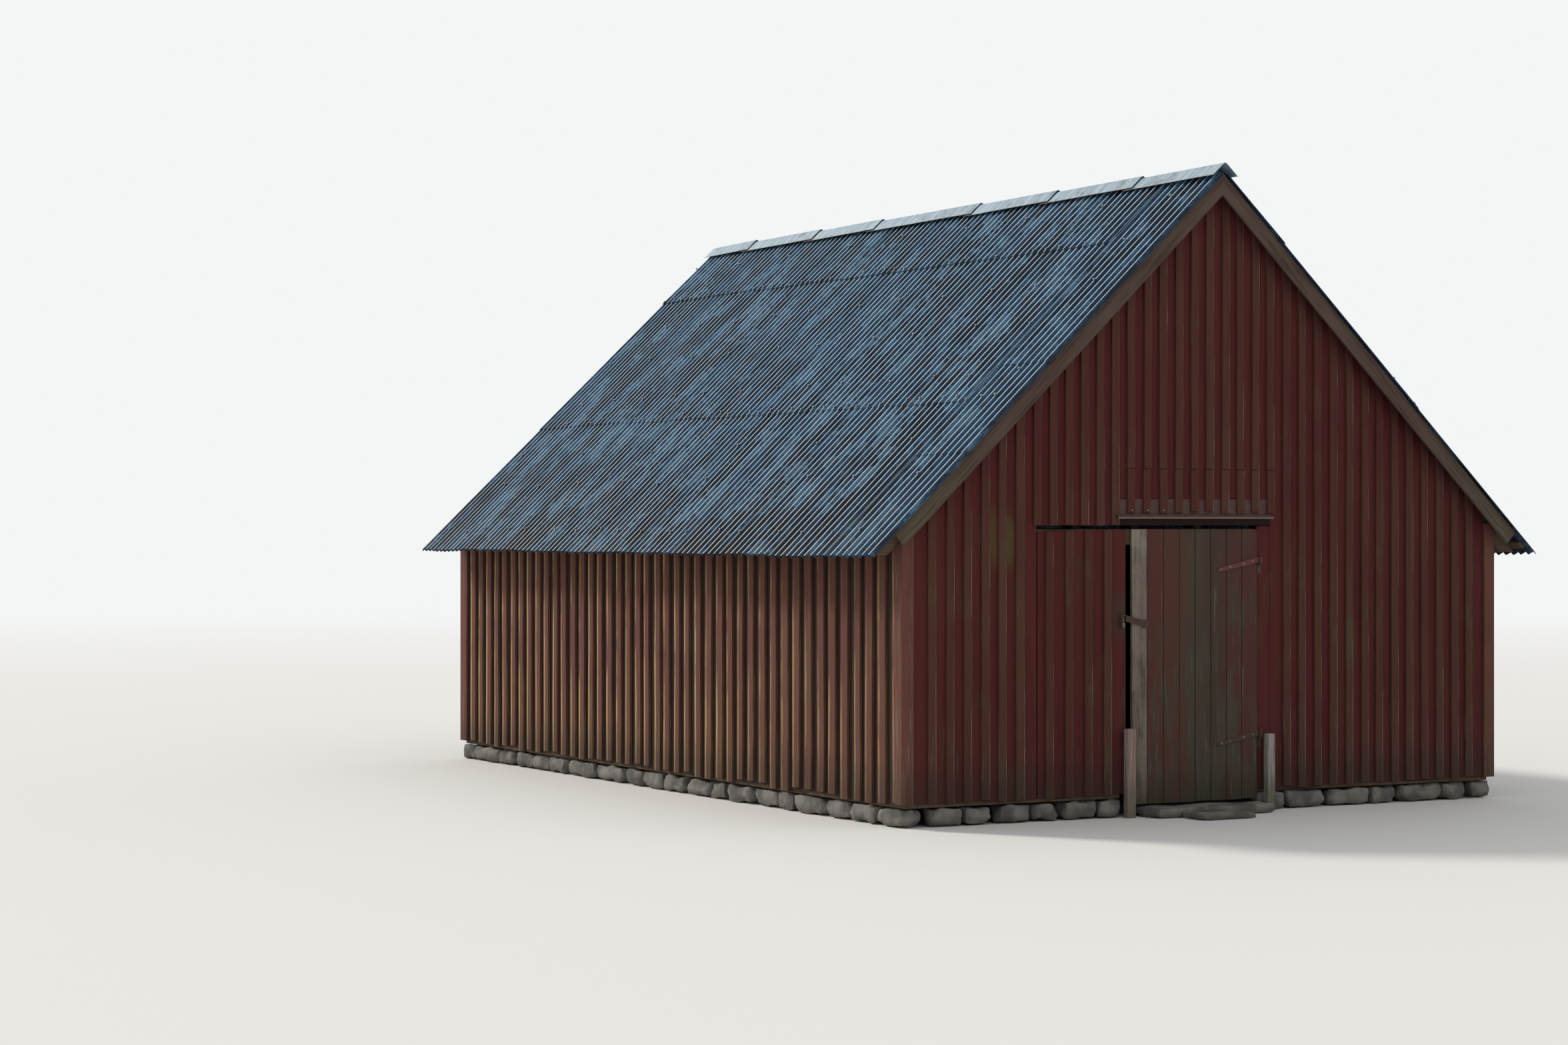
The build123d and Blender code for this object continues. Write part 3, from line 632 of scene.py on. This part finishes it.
def raised_wall(node, turn, wall, seed):
    """A long wall: flat boards with broad raised boards over every joint."""
    flat_depth, raised_depth, raised_width, gap = 0.018, 0.026, 0.102, 0.004
    low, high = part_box(node)
    half = (high.y - low.y) / 2
    count = 43
    spacing = 2 * half / count
    middle = (low.y + high.y) / 2
    turned = middle if turn > 0 else -middle
    values = {"Count": count, "First place": turned - half + spacing / 2, "Spacing": spacing,
              "Width": spacing - gap, "Thickness": flat_depth, "Foot": low.z, "Top": high.z - gap,
              "Width play": 0.001, "Foot play": 0.008, "Turn": (0.0, 0.0, turn), "Wall": wall,
              "Seed": seed, "Finish": shaded_recess_paint}
    under = grown(f"{node}_under_boards", board_tree, values, "barn", blunt=0.002)
    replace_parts(under, node)
    values.update({"Count": count + 1, "First place": turned - half, "Width": raised_width,
                   "Level": flat_depth, "Thickness": raised_depth, "Place play": 0.014, "Width play": 0.014,
                   "Foot play": 0.022, "Lean play": 0.008, "Seed": seed + 1, "Finish": side_paint})
    grown(f"{node}_raised_boards", board_tree, values, "barn", blunt=0.0035)


raised_wall("left_wall", -math.pi / 2, (side_face, 0.0, 0.0), 21)
raised_wall("right_wall", math.pi / 2, (-side_face, 0.0, 0.0), 27)


# Boards that cover the corners and the doorway's edges, and the boards along the roof's sloping edges.
# They are sawn pine nailed flat. The sloping boards never had much paint and have gone olive grey.
def marked(made, **marks):
    """Stores the same number on every point of a piece, for each name."""
    for name, value in marks.items():
        store = made.data.attributes.new(name, "FLOAT", "POINT")
        store.data.foreach_set("value", [value] * len(made.data.vertices))


corner_paint = painted_wood("corner_paint", paint=(0.115, 0.033, 0.026), faded=(0.15, 0.065, 0.047),
                            bare=(0.25, 0.18, 0.13), moss=(0.09, 0.06, 0.03), wear=0.45)
corners = eased("corner_boards", ["corner_boards"], "barn", corner_paint, 0.004)
marked(corners, tone=0.5, across=0.5)
trim = eased("door_trim_boards", ["door_trim"], "barn", shade_darkened_gable_paint, 0.003)
# The trim's lowest edge, under the drip, is marked for painted shade.
marked(trim, tone=0.3, across=0.5, damp=0.0)
for vertex, damp in zip(trim.data.vertices, trim.data.attributes["damp"].data):
    damp.value = float(abs(vertex.co.z - over_low.z) < 0.004)

rake_wood, place, shader = surface("rake_wood")
sideways = place.math("ABSOLUTE", place.axis("X"))
height = place.axis("Z")
uphill = height * math.sin(pitch) - sideways * math.cos(pitch)
off_slope = height * math.cos(pitch) + sideways * math.sin(pitch)
aligned = place.point(uphill, place.axis("Y"), off_slope)
fibres = aligned.mottle((3, 90, 90), 5, 0.6)
blotches = aligned.stretched(0.9, 3, 5).mottle(1.5, 4, 0.6)
olive = fibres.shades((0.055, 0.043, 0.028), (0.135, 0.112, 0.075))
brown = fibres.shades((0.048, 0.028, 0.022), (0.115, 0.072, 0.056))
tint = (uphill + blotches).rising(-0.35, 1.6).between(olive, brown)
tint = (blotches.rising(0.42, 0.66) * 0.7).between(tint, (0.105, 0.075, 0.058))
moss = aligned.stretched(2, 5, 9).mottle(2, 5, 0.7).rising(0.55, 0.68)
tint = (moss * 0.55).between(tint, (0.068, 0.070, 0.030))
feed(shader, tint, 0.85, fibres + blotches, specular=0.2)
eased("sloping_edge_boards", ["left_bargeboards", "right_bargeboards"], "barn", rake_wood,
      0.004)


# The roof sheets: thin corrugated sheets of bitumen fibre in three courses a slope. Each course laps over
# the one below and each sheet over the nearer one. They have weathered to a mottled blue black. Thin pale
# lines along their crests are painted highlights, and the hollows between the crests are painted shade.
def ripple(wire, start, wavelength):
    """A wave along a coordinate: 0 at the start, 1 half a wavelength on."""
    turn = (wire - start) / wavelength * math.tau
    return 0.5 - 0.5 * wire.math("COSINE", turn)


eave_low, eave_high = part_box("left_eave_sheets")
wave_pitch = 0.095
wave_count = round((eave_high.y - eave_low.y) / wave_pitch)
wave_high = 0.031
sheet_thickness = 0.0034
course_depth = 0.042
lap_lift = 0.004
roof_front = eave_low.y
eave_z = eave_low.z
half_roof = -eave_low.x - course_depth * math.sin(pitch)

roof_finish, place, shader = surface("roof_sheet")
tone = place.stored("tone")
above = place.stored("above")
crest = ripple(place.axis("Y"), roof_front, wave_pitch)
bands = place.mottle((0.45, 2.2, 0.45), 3, 0.55)
cloud = place.stretched(1.6, 3.4, 1.6).mottle(1.1, 4, 0.6)
speckle = place.mottle((9, 22, 9), 4, 0.75)
pale = bands * 0.60 + cloud * 0.80 + tone * 0.05 + speckle * 0.70
tint = pale.rising(0.96, 1.16).between((0.0060, 0.0130, 0.026), (0.024, 0.062, 0.120))
brown = place.stretched(1.0, 7, 1.0).mottle(1.3, 4, 0.6).rising(0.52, 0.68)
tint = (brown * 0.6).between(tint, (0.034, 0.022, 0.028))
flecks = place.mottle((24, 40, 24), 4, 0.75)
bleached = (cloud * 1.2 + speckle * 0.4 + flecks * 0.6).rising(1.14, 1.26)
tint = (bleached * 0.8).between(tint, (0.088, 0.178, 0.270))
# Painted shade: the hollows between the crests are darkened.
trough_shade = 1 - crest.rising(0.0, 0.5)
tint = (trough_shade * 0.7).between(tint, (0.004, 0.007, 0.013))
moss = place.mottle((5, 9, 5), 5, 0.7)
near_lap = 1 - above.rising(0.0, 0.22)
tint = ((moss * 0.8 + near_lap * 0.10).rising(0.55, 0.66) * 0.7).between(tint, (0.105, 0.075, 0.042))
gap_shade = 1 - above.rising(0.0, 0.03)
tint = (gap_shade * 0.8).between(tint, (0.004, 0.006, 0.008))
# Painted highlight: thin pale lines along the crests, bluish white and warmer towards the eave, with a
# little less roughness.
broken = place.stretched(1.5, 10, 1.5).mottle(3, 3, 0.6).rising(0.25, 0.5)
line = crest.rising(0.935, 0.985) * (0.6 + 0.4 * broken)
highlight_warmth = place.axis("Z") * -0.25 + moss
crest_highlight_tint = highlight_warmth.rising(-0.3, 0.15).between((0.46, 0.65, 0.80), (0.70, 0.63, 0.48))
tint = line.between(tint, crest_highlight_tint)
feed(shader, tint, 0.62 - 0.12 * line, speckle + moss, 0.002, specular=0.2)

sheet_tree, given = geometry_tree(
    "corrugated_sheets", Geometry=["Sheets"],
    Float=["Side", "Wave height", "Wave length", "Front", "Eave", "Half width", "Pitch", "Unevenness"])
side = given["Side"]
patch = side.node("GeometryNodeMeshGrid", (),
                  {"Size X": 1, "Size Y": 1, "Vertices X": 97, "Vertices Y": 12})
spot = side.node("GeometryNodeInputPosition")
patch = noted(patch, beyond=spot.axis("X") + 0.5, rise=spot.axis("Y") + 0.5)
sheets = copies(given["Sheets"], patch)
beyond, rise, near, span = recall(sheets, "beyond", "rise", "near", "span")
start, end, tone = recall(sheets, "start", "end", "tone")
low_lift, high_lift, side_lift = recall(sheets, "low_lift", "high_lift", "side_lift")
y = near + beyond * span
uphill = start + rise * (end - start)
flat = side.point(y, uphill, tone * 7)
uneven = (flat.mottle(1.3, 2) - 0.5) * given["Unevenness"]
lift = low_lift * (1 - rise) + high_lift * rise + side_lift * (1 - beyond)
off = given["Wave height"] * ripple(y, given["Front"], given["Wave length"]) + lift + uneven
ragged = flat.mottle((14, 0, 1), 2) - 0.5
slow = flat.mottle((0.55, 0, 0), 1).rising(0.3, 0.7)
uphill = uphill + (1 - rise) * (ragged * 0.012 + slow * 0.026)
run = side.math("COSINE", given["Pitch"])
climb = side.math("SINE", given["Pitch"])
x = side * (given["Half width"] - uphill * run + off * climb)
z = given["Eave"] + uphill * climb + off * run
sheets = noted(moved(sheets, x, y, z), above=uphill - start)
deliver(sheets, given["Finish"])


def point_mesh(name, rows, marks=()):
    """Loose points. Each row is a place, or else values that are stored under the marks' names."""
    mesh = bpy.data.meshes.new(name)
    mesh.from_pydata([(0, 0, 0) if marks else row for row in rows], [], [])
    for number, mark in enumerate(marks):
        store = mesh.attributes.new(mark, "FLOAT", "POINT")
        store.data.foreach_set("value", [row[number] for row in rows])
    return mesh


rng = random.Random(5)
marks = ("near", "span", "start", "end", "low_lift", "high_lift", "side_lift", "tone")
levels = ("eave", "middle", "ridge")
courses = []
for number, level in enumerate(levels):
    low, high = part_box(f"left_{level}_sheets")
    lift = lap_lift * number
    low_up = (low.z - eave_z - lift * math.cos(pitch)) / math.sin(pitch)
    high_up = (high.z - eave_z - (course_depth + lift) * math.cos(pitch)) / math.sin(pitch)
    courses.append((low_up, high_up, lift, 0.001 * number - lap_lift))
front_courses = [(0.0, 1.23, 0.0, -0.006), (1.13, 2.27, 0.0, -0.004), (2.17, courses[2][1], 0.002, -0.004)]
first_waves, sheet_waves = 8, 9
edges = [0, *range(first_waves, wave_count - 2, sheet_waves), wave_count]
slopes = (("left", -1.0), ("right", 1.0))
for side_name, side in slopes:
    rows = []
    name = f"{side_name}_roof_sheets"
    for column, (edge, next_edge) in enumerate(zip(edges, edges[1:])):
        staggered = column == 0 and side < 0
        lapped = 0.5 if column else 0
        side_lift = 0.0065 if column == 1 else 0.0035
        for low_up, high_up, low_lift, high_lift in front_courses if staggered else courses:
            start = low_up + (rng.uniform(0, 0.014) if low_up > 0.1 else rng.uniform(0.006, 0.016))
            near, span = roof_front + (edge - lapped) * wave_pitch, (next_edge - edge + lapped) * wave_pitch
            rows.append((near, span, start, high_up, low_lift, high_lift, side_lift, rng.random()))
    values = {"Side": side, "Wave height": wave_high, "Wave length": wave_pitch, "Front": roof_front,
              "Eave": eave_z + 0.5 * sheet_thickness * math.cos(pitch), "Half width": half_roof,
              "Pitch": pitch, "Unevenness": 0.004, "Finish": roof_finish}
    made = grown(name, sheet_tree, values, "barn", point_mesh(name, rows, marks),
                 thickness=sheet_thickness, smooth=50)
    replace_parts(made, *(f"{side_name}_{level}_sheets" for level in levels))


# Zinc coated nails with pale domed caps hold the sheets, driven through the crests into the laths. One row
# runs near the eave, and others run at the laps and over the laths between.
zinc, place, shader = surface("nail_cap")
tint = place.mottle(60, 3).shades((0.16, 0.13, 0.10), (0.42, 0.40, 0.37))
feed(shader, tint, 0.5, metallic=0.3)

head_tree, given = geometry_tree("domed_heads", Geometry=["Places"], Vector=["Turn"],
                                 Float=["Radius", "Height"])
dome = given["Turn"].node("GeometryNodeMeshUVSphere", (), {"Segments": 10, "Rings": 6, "Radius": 1})
breadth = dome.point(given["Radius"], given["Radius"], given["Height"])
heads = dome.node("GeometryNodeInstanceOnPoints", (), {"Points": given["Places"], "Instance": dome,
                                                       "Rotation": given["Turn"], "Scale": breadth})
deliver(heads, given["Finish"])


def nail_heads(name, places, radius, height, finish, body="barn", turn=(math.pi / 2, 0.0, 0.0)):
    """Domed heads at places on one face, which looks to the front unless it is turned."""
    values = {"Turn": turn, "Radius": radius, "Height": height, "Finish": finish}
    grown(name, head_tree, values, body, point_mesh(name, places), smooth=60)


rng = random.Random(17)
head_stand = 0.006
missing_share = 0.3
# Each row has its distance up the slope, and how many waves lie between its nails.
nail_rows = [(0.30, 5), (0.92, 9), (1.36, 16), (courses[1][0] + 0.07, 2), (2.12, 7), (2.72, 9), (3.22, 8),
             (courses[2][0] + 0.06, 2), (4.2, 11)]
for side_name, side in slopes:
    places = []
    for up, every in nail_rows:
        for wave in range(rng.randrange(every), wave_count, every):
            if every > 2:
                wave = min(max(wave + rng.choice((-1, 0, 0, 1)), 0), wave_count - 1)
            elif rng.random() < missing_share:
                continue
            spot_up = up + rng.uniform(-0.03, 0.03)
            laps = sum(spot_up > course[0] for course in courses[1:])
            off = wave_high + head_stand + laps * lap_lift
            places.append((side * (half_roof - spot_up * math.cos(pitch) + off * math.sin(pitch)),
                           roof_front + (wave + 0.5) * wave_pitch,
                           eave_z + spot_up * math.sin(pitch) + off * math.cos(pitch)))
    nail_heads(f"{side_name}_roof_nails", places, 0.012, 0.007, zinc, turn=(0.0, side * pitch, 0.0))


# Ridge caps: strips of thin grey sheet folded over the ridge, laid from the near end so that each farther
# one laps over the nearer. Their near ends gape a little and their long lips are turned out flat.
cap_finish, place, shader = surface("ridge_sheet")
streaks = place.mottle((1.2, 26, 1.2), 4, 0.65)
blotches = place.mottle(7, 5, 0.65)
tint = streaks.shades((0.15, 0.22, 0.28), (0.38, 0.47, 0.54))
tint = (blotches.rising(0.52, 0.68) * 0.6).between(tint, (0.07, 0.085, 0.10))
# Painted highlight: a warm yellow line along the long lips of the caps.
lip = place.math("ABSOLUTE", place.axis("X")).rising(0.110, 0.122) * blotches.rising(0.34, 0.5)
tint = (lip * 0.85).between(tint, (0.42, 0.34, 0.21))
feed(shader, tint, 0.55, streaks + blotches, metallic=0.15)

cap_low, cap_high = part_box("ridge_caps")
cap_tree, given = geometry_tree("folded_caps", Geometry=["Caps"],
                                Float=["Half width", "Lip", "Top", "Slope", "Fray"])
lip = given["Lip"]
patch = lip.node("GeometryNodeMeshGrid", (),
                 {"Size X": 1, "Size Y": 1, "Vertices X": 41, "Vertices Y": 40})
spot = lip.node("GeometryNodeInputPosition")
patch = noted(patch, sideways=spot.axis("X") * 2, beyond=spot.axis("Y") + 0.5)
caps = copies(given["Caps"], patch)
sideways, beyond, near, span, drop = recall(caps, "sideways", "beyond", "near", "span", "drop")
x = sideways * given["Half width"]
y = near + beyond * span
uneven = (lip.point(x * 3, y, near).mottle(2.2, 3) - 0.5) * given["Fray"]
reach = lip.math("SQRT", x * x + 0.00012)
down = lip.math("SMOOTH_MIN", reach, given["Half width"] - lip, 0.004) * given["Slope"]
edge = lip.math("ABSOLUTE", sideways).rising(0.6, 1.0)
gape = lip.math("ABSOLUTE", uneven) * (0.4 + edge)
z = given["Top"] - drop * beyond - down - gape
deliver(moved(caps, x, y, z), given["Finish"])
joints = [cap_low.y, -3.05, -1.80, -0.57, 1.15, 2.33, 3.65, cap_high.y]
lap, cap_drop = 0.10, 0.017
rows = [(near, min(far + lap, cap_high.y) - near, cap_drop) for near, far in zip(joints, joints[1:])]
values = {"Half width": cap_high.x - 0.002, "Lip": 0.014, "Top": cap_high.z + 0.0085,
          "Slope": rake, "Fray": 0.006, "Finish": cap_finish}
caps = grown("ridge_cap_strips", cap_tree, values, "barn",
             point_mesh("ridge_caps", rows, ("near", "span", "drop")), thickness=0.002, smooth=50)
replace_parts(caps, "ridge_caps")


# The doorway's shut left half: five upright boards of painted pine, with four strips nailed over their
# joints and ledges behind. The gap above it is a thin wedge, since its top runs a little out of level.
panel_low, panel_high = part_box("left_door_panel")
edge_board = 0.106
first_joint = panel_low.x + edge_board
panel_fall = 0.022
panel_top = panel_high.z - panel_high.x * panel_fall
for name, span, joints, node in (
        ("panel_edge", (panel_low.x, first_joint, 1), None, "left_door_panel"),
        ("panel", (first_joint, panel_high.x, 4), (0, 3), None)):
    board_run(name, span, panel_low.z, panel_top, panel_fall, front_wall, 31, joints, strip=0.072, play=0.4,
              gap=0.002, node=node)
eased("panel_ledges", ["left_door_ledges"], "barn", level_timber, 0.003)


# The door leaf: eight upright planks nailed to two ledges and a brace. The planks are bare at the left,
# where a hand pulls, and keep some red paint under green grey weathering towards the right and the foot.
leaf_wood, place, shader = surface("leaf_wood")
tone = place.stored("tone")
height = place.axis("Z")
fibres = place.mottle((170, 170, 3.2), 5, 0.7)
streaks = place.mottle((22, 22, 0.8), 4, 0.65)
blotches = place.mottle((4, 4, 1.4), 5, 0.65)
stops = [(0.0, (0.215, 0.18, 0.145)), (0.108, (0.195, 0.16, 0.13)), (0.128, (0.095, 0.030, 0.024)),
         (0.25, (0.10, 0.036, 0.025)), (0.40, (0.085, 0.045, 0.030)), (0.50, (0.072, 0.056, 0.038)),
         (0.64, (0.062, 0.042, 0.030)), (0.78, (0.085, 0.034, 0.027)), (1.0, (0.088, 0.034, 0.027))]
leaf_start, leaf_span = -0.795, 1.225
across_leaf = (place.axis("X") - leaf_start) / leaf_span
old_paint = place.node("ShaderNodeValToRGB", {"stops": stops}, {0: across_leaf + (blotches - 0.5) * 0.05})
pale_corner = height.rising(1.95, 2.2) * (1 - across_leaf.rising(0.08, 0.14))
old_paint = (pale_corner * 0.7).between(old_paint, (0.29, 0.26, 0.22))
dirt = (blotches * 0.6 + streaks * 0.5).rising(0.50, 0.66) * 0.75
old_paint = dirt.between(old_paint, (0.070, 0.046, 0.034))
grey_green = fibres.shades((0.036, 0.034, 0.024), (0.105, 0.098, 0.070))
green_share = blotches * 0.8 + streaks * 0.4 - height * 0.10 + across_leaf * 0.05
tint = (green_share.rising(0.46, 0.66) * 0.75).between(old_paint, grey_green)
scuffs = (fibres * 0.6 + streaks * 0.6).rising(0.70, 0.80) * 0.7
tint = scuffs.between(tint, (0.30, 0.27, 0.23))
tint = ((1 - fibres.rising(0.28, 0.42)) * 0.5).between(tint, (0.03, 0.022, 0.018))
tint = ((1 - height.rising(0.1, 0.45)) * 0.5).between(tint, (0.035, 0.032, 0.02))
tint = bare_inside(place, fibres, tint)
feed(shader, tint, 0.85, fibres + streaks, specular=0.2)
leaf_low, leaf_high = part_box("right_door_planks")
plank_count = 8
leaf_left, leaf_right, leaf_foot = leaf_low.x, leaf_high.x + 0.004, leaf_low.z + 0.006
board_run("leaf", (leaf_left, leaf_right, plank_count), leaf_foot, leaf_high.z, 0.0,
          (0.0, leaf_high.y, 0.0), 41, finish=leaf_wood, play=0.6, body="door_leaf",
          node="right_door_planks", depth=leaf_high.y - leaf_low.y)
ledge_low, ledge_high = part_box("right_door_ledges")
ledge_height, brace_width = 0.12, 0.09
brace_foot, brace_head = ledge_low.z + ledge_height, ledge_high.z - ledge_height
brace_angle = math.atan2(brace_head - brace_foot, -(ledge_high.x - ledge_low.x - brace_width))
leaf_timber = timber("leaf_timber", (3, 70, 70), (brace_foot, brace_head, brace_angle))
eased("leaf_ledges", ["right_door_ledges"], "door_leaf", leaf_timber, 0.003)


# Ironwork of the doorway, forged or cut from plate: two strap hinges on pins, the hasp with its staple and
# steel padlock, and the bent sheet that throws water off the lintel, with their bolts. Old red paint covers
# rust on some of it.
def iron(name, paint, rust, paint_share):
    """Iron that rusts in patches through its paint."""
    made, place, shader = surface(name)
    coarse = place.mottle(35, 5, 0.65)
    fine = place.mottle(220, 4, 0.7)
    rusty = (coarse * 0.75 + fine * 0.25).rising(paint_share - 0.06, paint_share + 0.06)
    tint = rusty.between(paint, fine.shades(tuple(c * 0.5 for c in rust), rust))
    feed(shader, tint, 0.55 + rusty * 0.3, fine + coarse, 0.0015, 0.25 * (1 - rusty))
    return made


red_iron = iron("red_iron", (0.11, 0.026, 0.022), (0.13, 0.055, 0.026), 0.56)
dark_iron = iron("dark_iron", (0.035, 0.027, 0.023), (0.105, 0.045, 0.020), 0.50)
for name, node, body, finish, width, segments in (
        ("upper_strap", "upper_strap_hinge", "door_leaf", red_iron, 0.0008, 1),
        ("lower_strap", "lower_strap_hinge", "door_leaf", dark_iron, 0.0008, 1),
        ("pin_hooks", "door_pintles", "barn", dark_iron, 0.0008, 1),
        ("staple_wire", "staple", "barn", dark_iron, 0.0015, 2),
        ("hasp_leaf_plate", "hasp_plate", "door_leaf", dark_iron, 0.0006, 1),
        ("hasp_strap", "hasp", "door_hasp", dark_iron, 0.0006, 1)):
    eased(name, [node], body, finish, width, segments)

lock_finish, place, shader = surface("old_steel")
worn = place.mottle(90, 5, 0.7)
tint = worn.rising(0.42, 0.6).between((0.20, 0.19, 0.17), (0.10, 0.06, 0.035))
feed(shader, tint, 0.35 + 0.4 * worn, metallic=0.8 - 0.5 * worn.rising(0.42, 0.6))
eased("closed_padlock", ["padlock"], "door_hasp", lock_finish, 0.0018, 2)

drip_finish, place, shader = surface("drip_finish")
coarse = place.mottle((9, 30, 22), 5, 0.65)
tint = coarse.rising(0.40, 0.62).between((0.060, 0.019, 0.016), (0.072, 0.038, 0.030))
# Painted highlight: a thin pale line along the lower edge of the drip sheet.
drip_lip_highlight = 1 - place.axis("Z").rising(header_low.z + 0.004, header_low.z + 0.010)
tint = (drip_lip_highlight * 0.7).between(tint, (0.33, 0.28, 0.24))
feed(shader, tint, 0.6, coarse, metallic=0.2)
eased("drip_sheet", ["door_drip"], "barn", drip_finish, 0.0006)

leaf_face = leaf_low.y
strap_slant = math.tan(math.radians(11))
pin_to_end, half_strap, strap_depth = 0.0134, 0.02, 0.005
bolt_places = []
for node in ("upper_strap_hinge", "lower_strap_hinge"):
    low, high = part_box(node)
    for back_from_pin in (0.075, 0.165, 0.30, 0.385):
        bolt_places.append((high.x - pin_to_end - back_from_pin, leaf_face - strap_depth,
                            high.z - half_strap - back_from_pin * strap_slant))
nail_heads("strap_bolts", bolt_places, 0.0075, 0.004, zinc, "door_leaf")

left, right, count = front_spans["header"]
strip_face = front_face - board_depth - strip_depth
bolt_height = header_high.z - 0.088
drip_bolts = [(left + number * (right - left) / count, strip_face - 0.001, bolt_height)
              for number in range(1, count)]
nail_heads("pale_drip_bolts", drip_bolts[:3], 0.007, 0.004, zinc)
nail_heads("dark_drip_bolts", drip_bolts[3:], 0.007, 0.004, dark_iron)


# Two short posts set in the ground to fend wheels off the doorway. Split softwood, with blunt tops and
# green feet. The left one has a pinkish cast, and the right one is bleached pale.
post_finish, place, shader = surface("post_wood")
fibres = place.mottle((90, 90, 2.5), 5, 0.7)
broad = place.mottle(5, 4)
is_right = place.axis("X").rising(-0.2, 0.2)
light_wood = is_right.between((0.36, 0.25, 0.22), (0.38, 0.37, 0.34))
tint = fibres.shades((0.14, 0.10, 0.085), light_wood)
green_foot = (1 - place.axis("Z").rising(0.02, 0.4)) * broad.rising(0.3, 0.6)
tint = (green_foot * 0.8).between(tint, (0.09, 0.11, 0.055))
feed(shader, tint, 0.9, fibres + broad, 0.004)
eased("guard_posts", ["guard_posts"], "barn", post_finish, 0.006, 2)


# Small iron nails hold the strips at every rail of the frame, and in pairs they hold the planks at each
# ledge of the door. Their heads are round and flush, and have rusted dark.
rng = random.Random(23)
nail_radius, nail_height = 0.0045, 0.0025
rail_heights, ledge_heights = (0.24, 1.16, 2.21, 2.60, 3.24, 4.09), (0.56, 1.93)
over_doorway = 2.55
height_play = 0.03
places = []
for left, right, count in front_spans.values():
    for number in range(1, count):
        x = left + number * (right - left) / count
        for z in rail_heights:
            over_door = over_low.x - 0.01 < x < over_high.x + 0.01
            if z < gable_top - rake * abs(x) - 0.1 and not (over_door and z < over_doorway):
                places.append((x + rng.uniform(-0.012, 0.012), strip_face + 0.0012,
                               z + rng.uniform(-height_play, height_play)))
nail_heads("wall_nails", places, nail_radius, nail_height, dark_iron)
places = []
for number, z, beside in product(range(plank_count), ledge_heights, (-0.035, 0.035)):
    x = leaf_left + (number + 0.5) * (leaf_right - leaf_left) / plank_count
    places.append((x + beside + rng.uniform(-0.006, 0.006), leaf_face + 0.001,
                   z + rng.uniform(-height_play, height_play)))
nail_heads("leaf_nails", places, nail_radius, nail_height, dark_iron, "door_leaf")
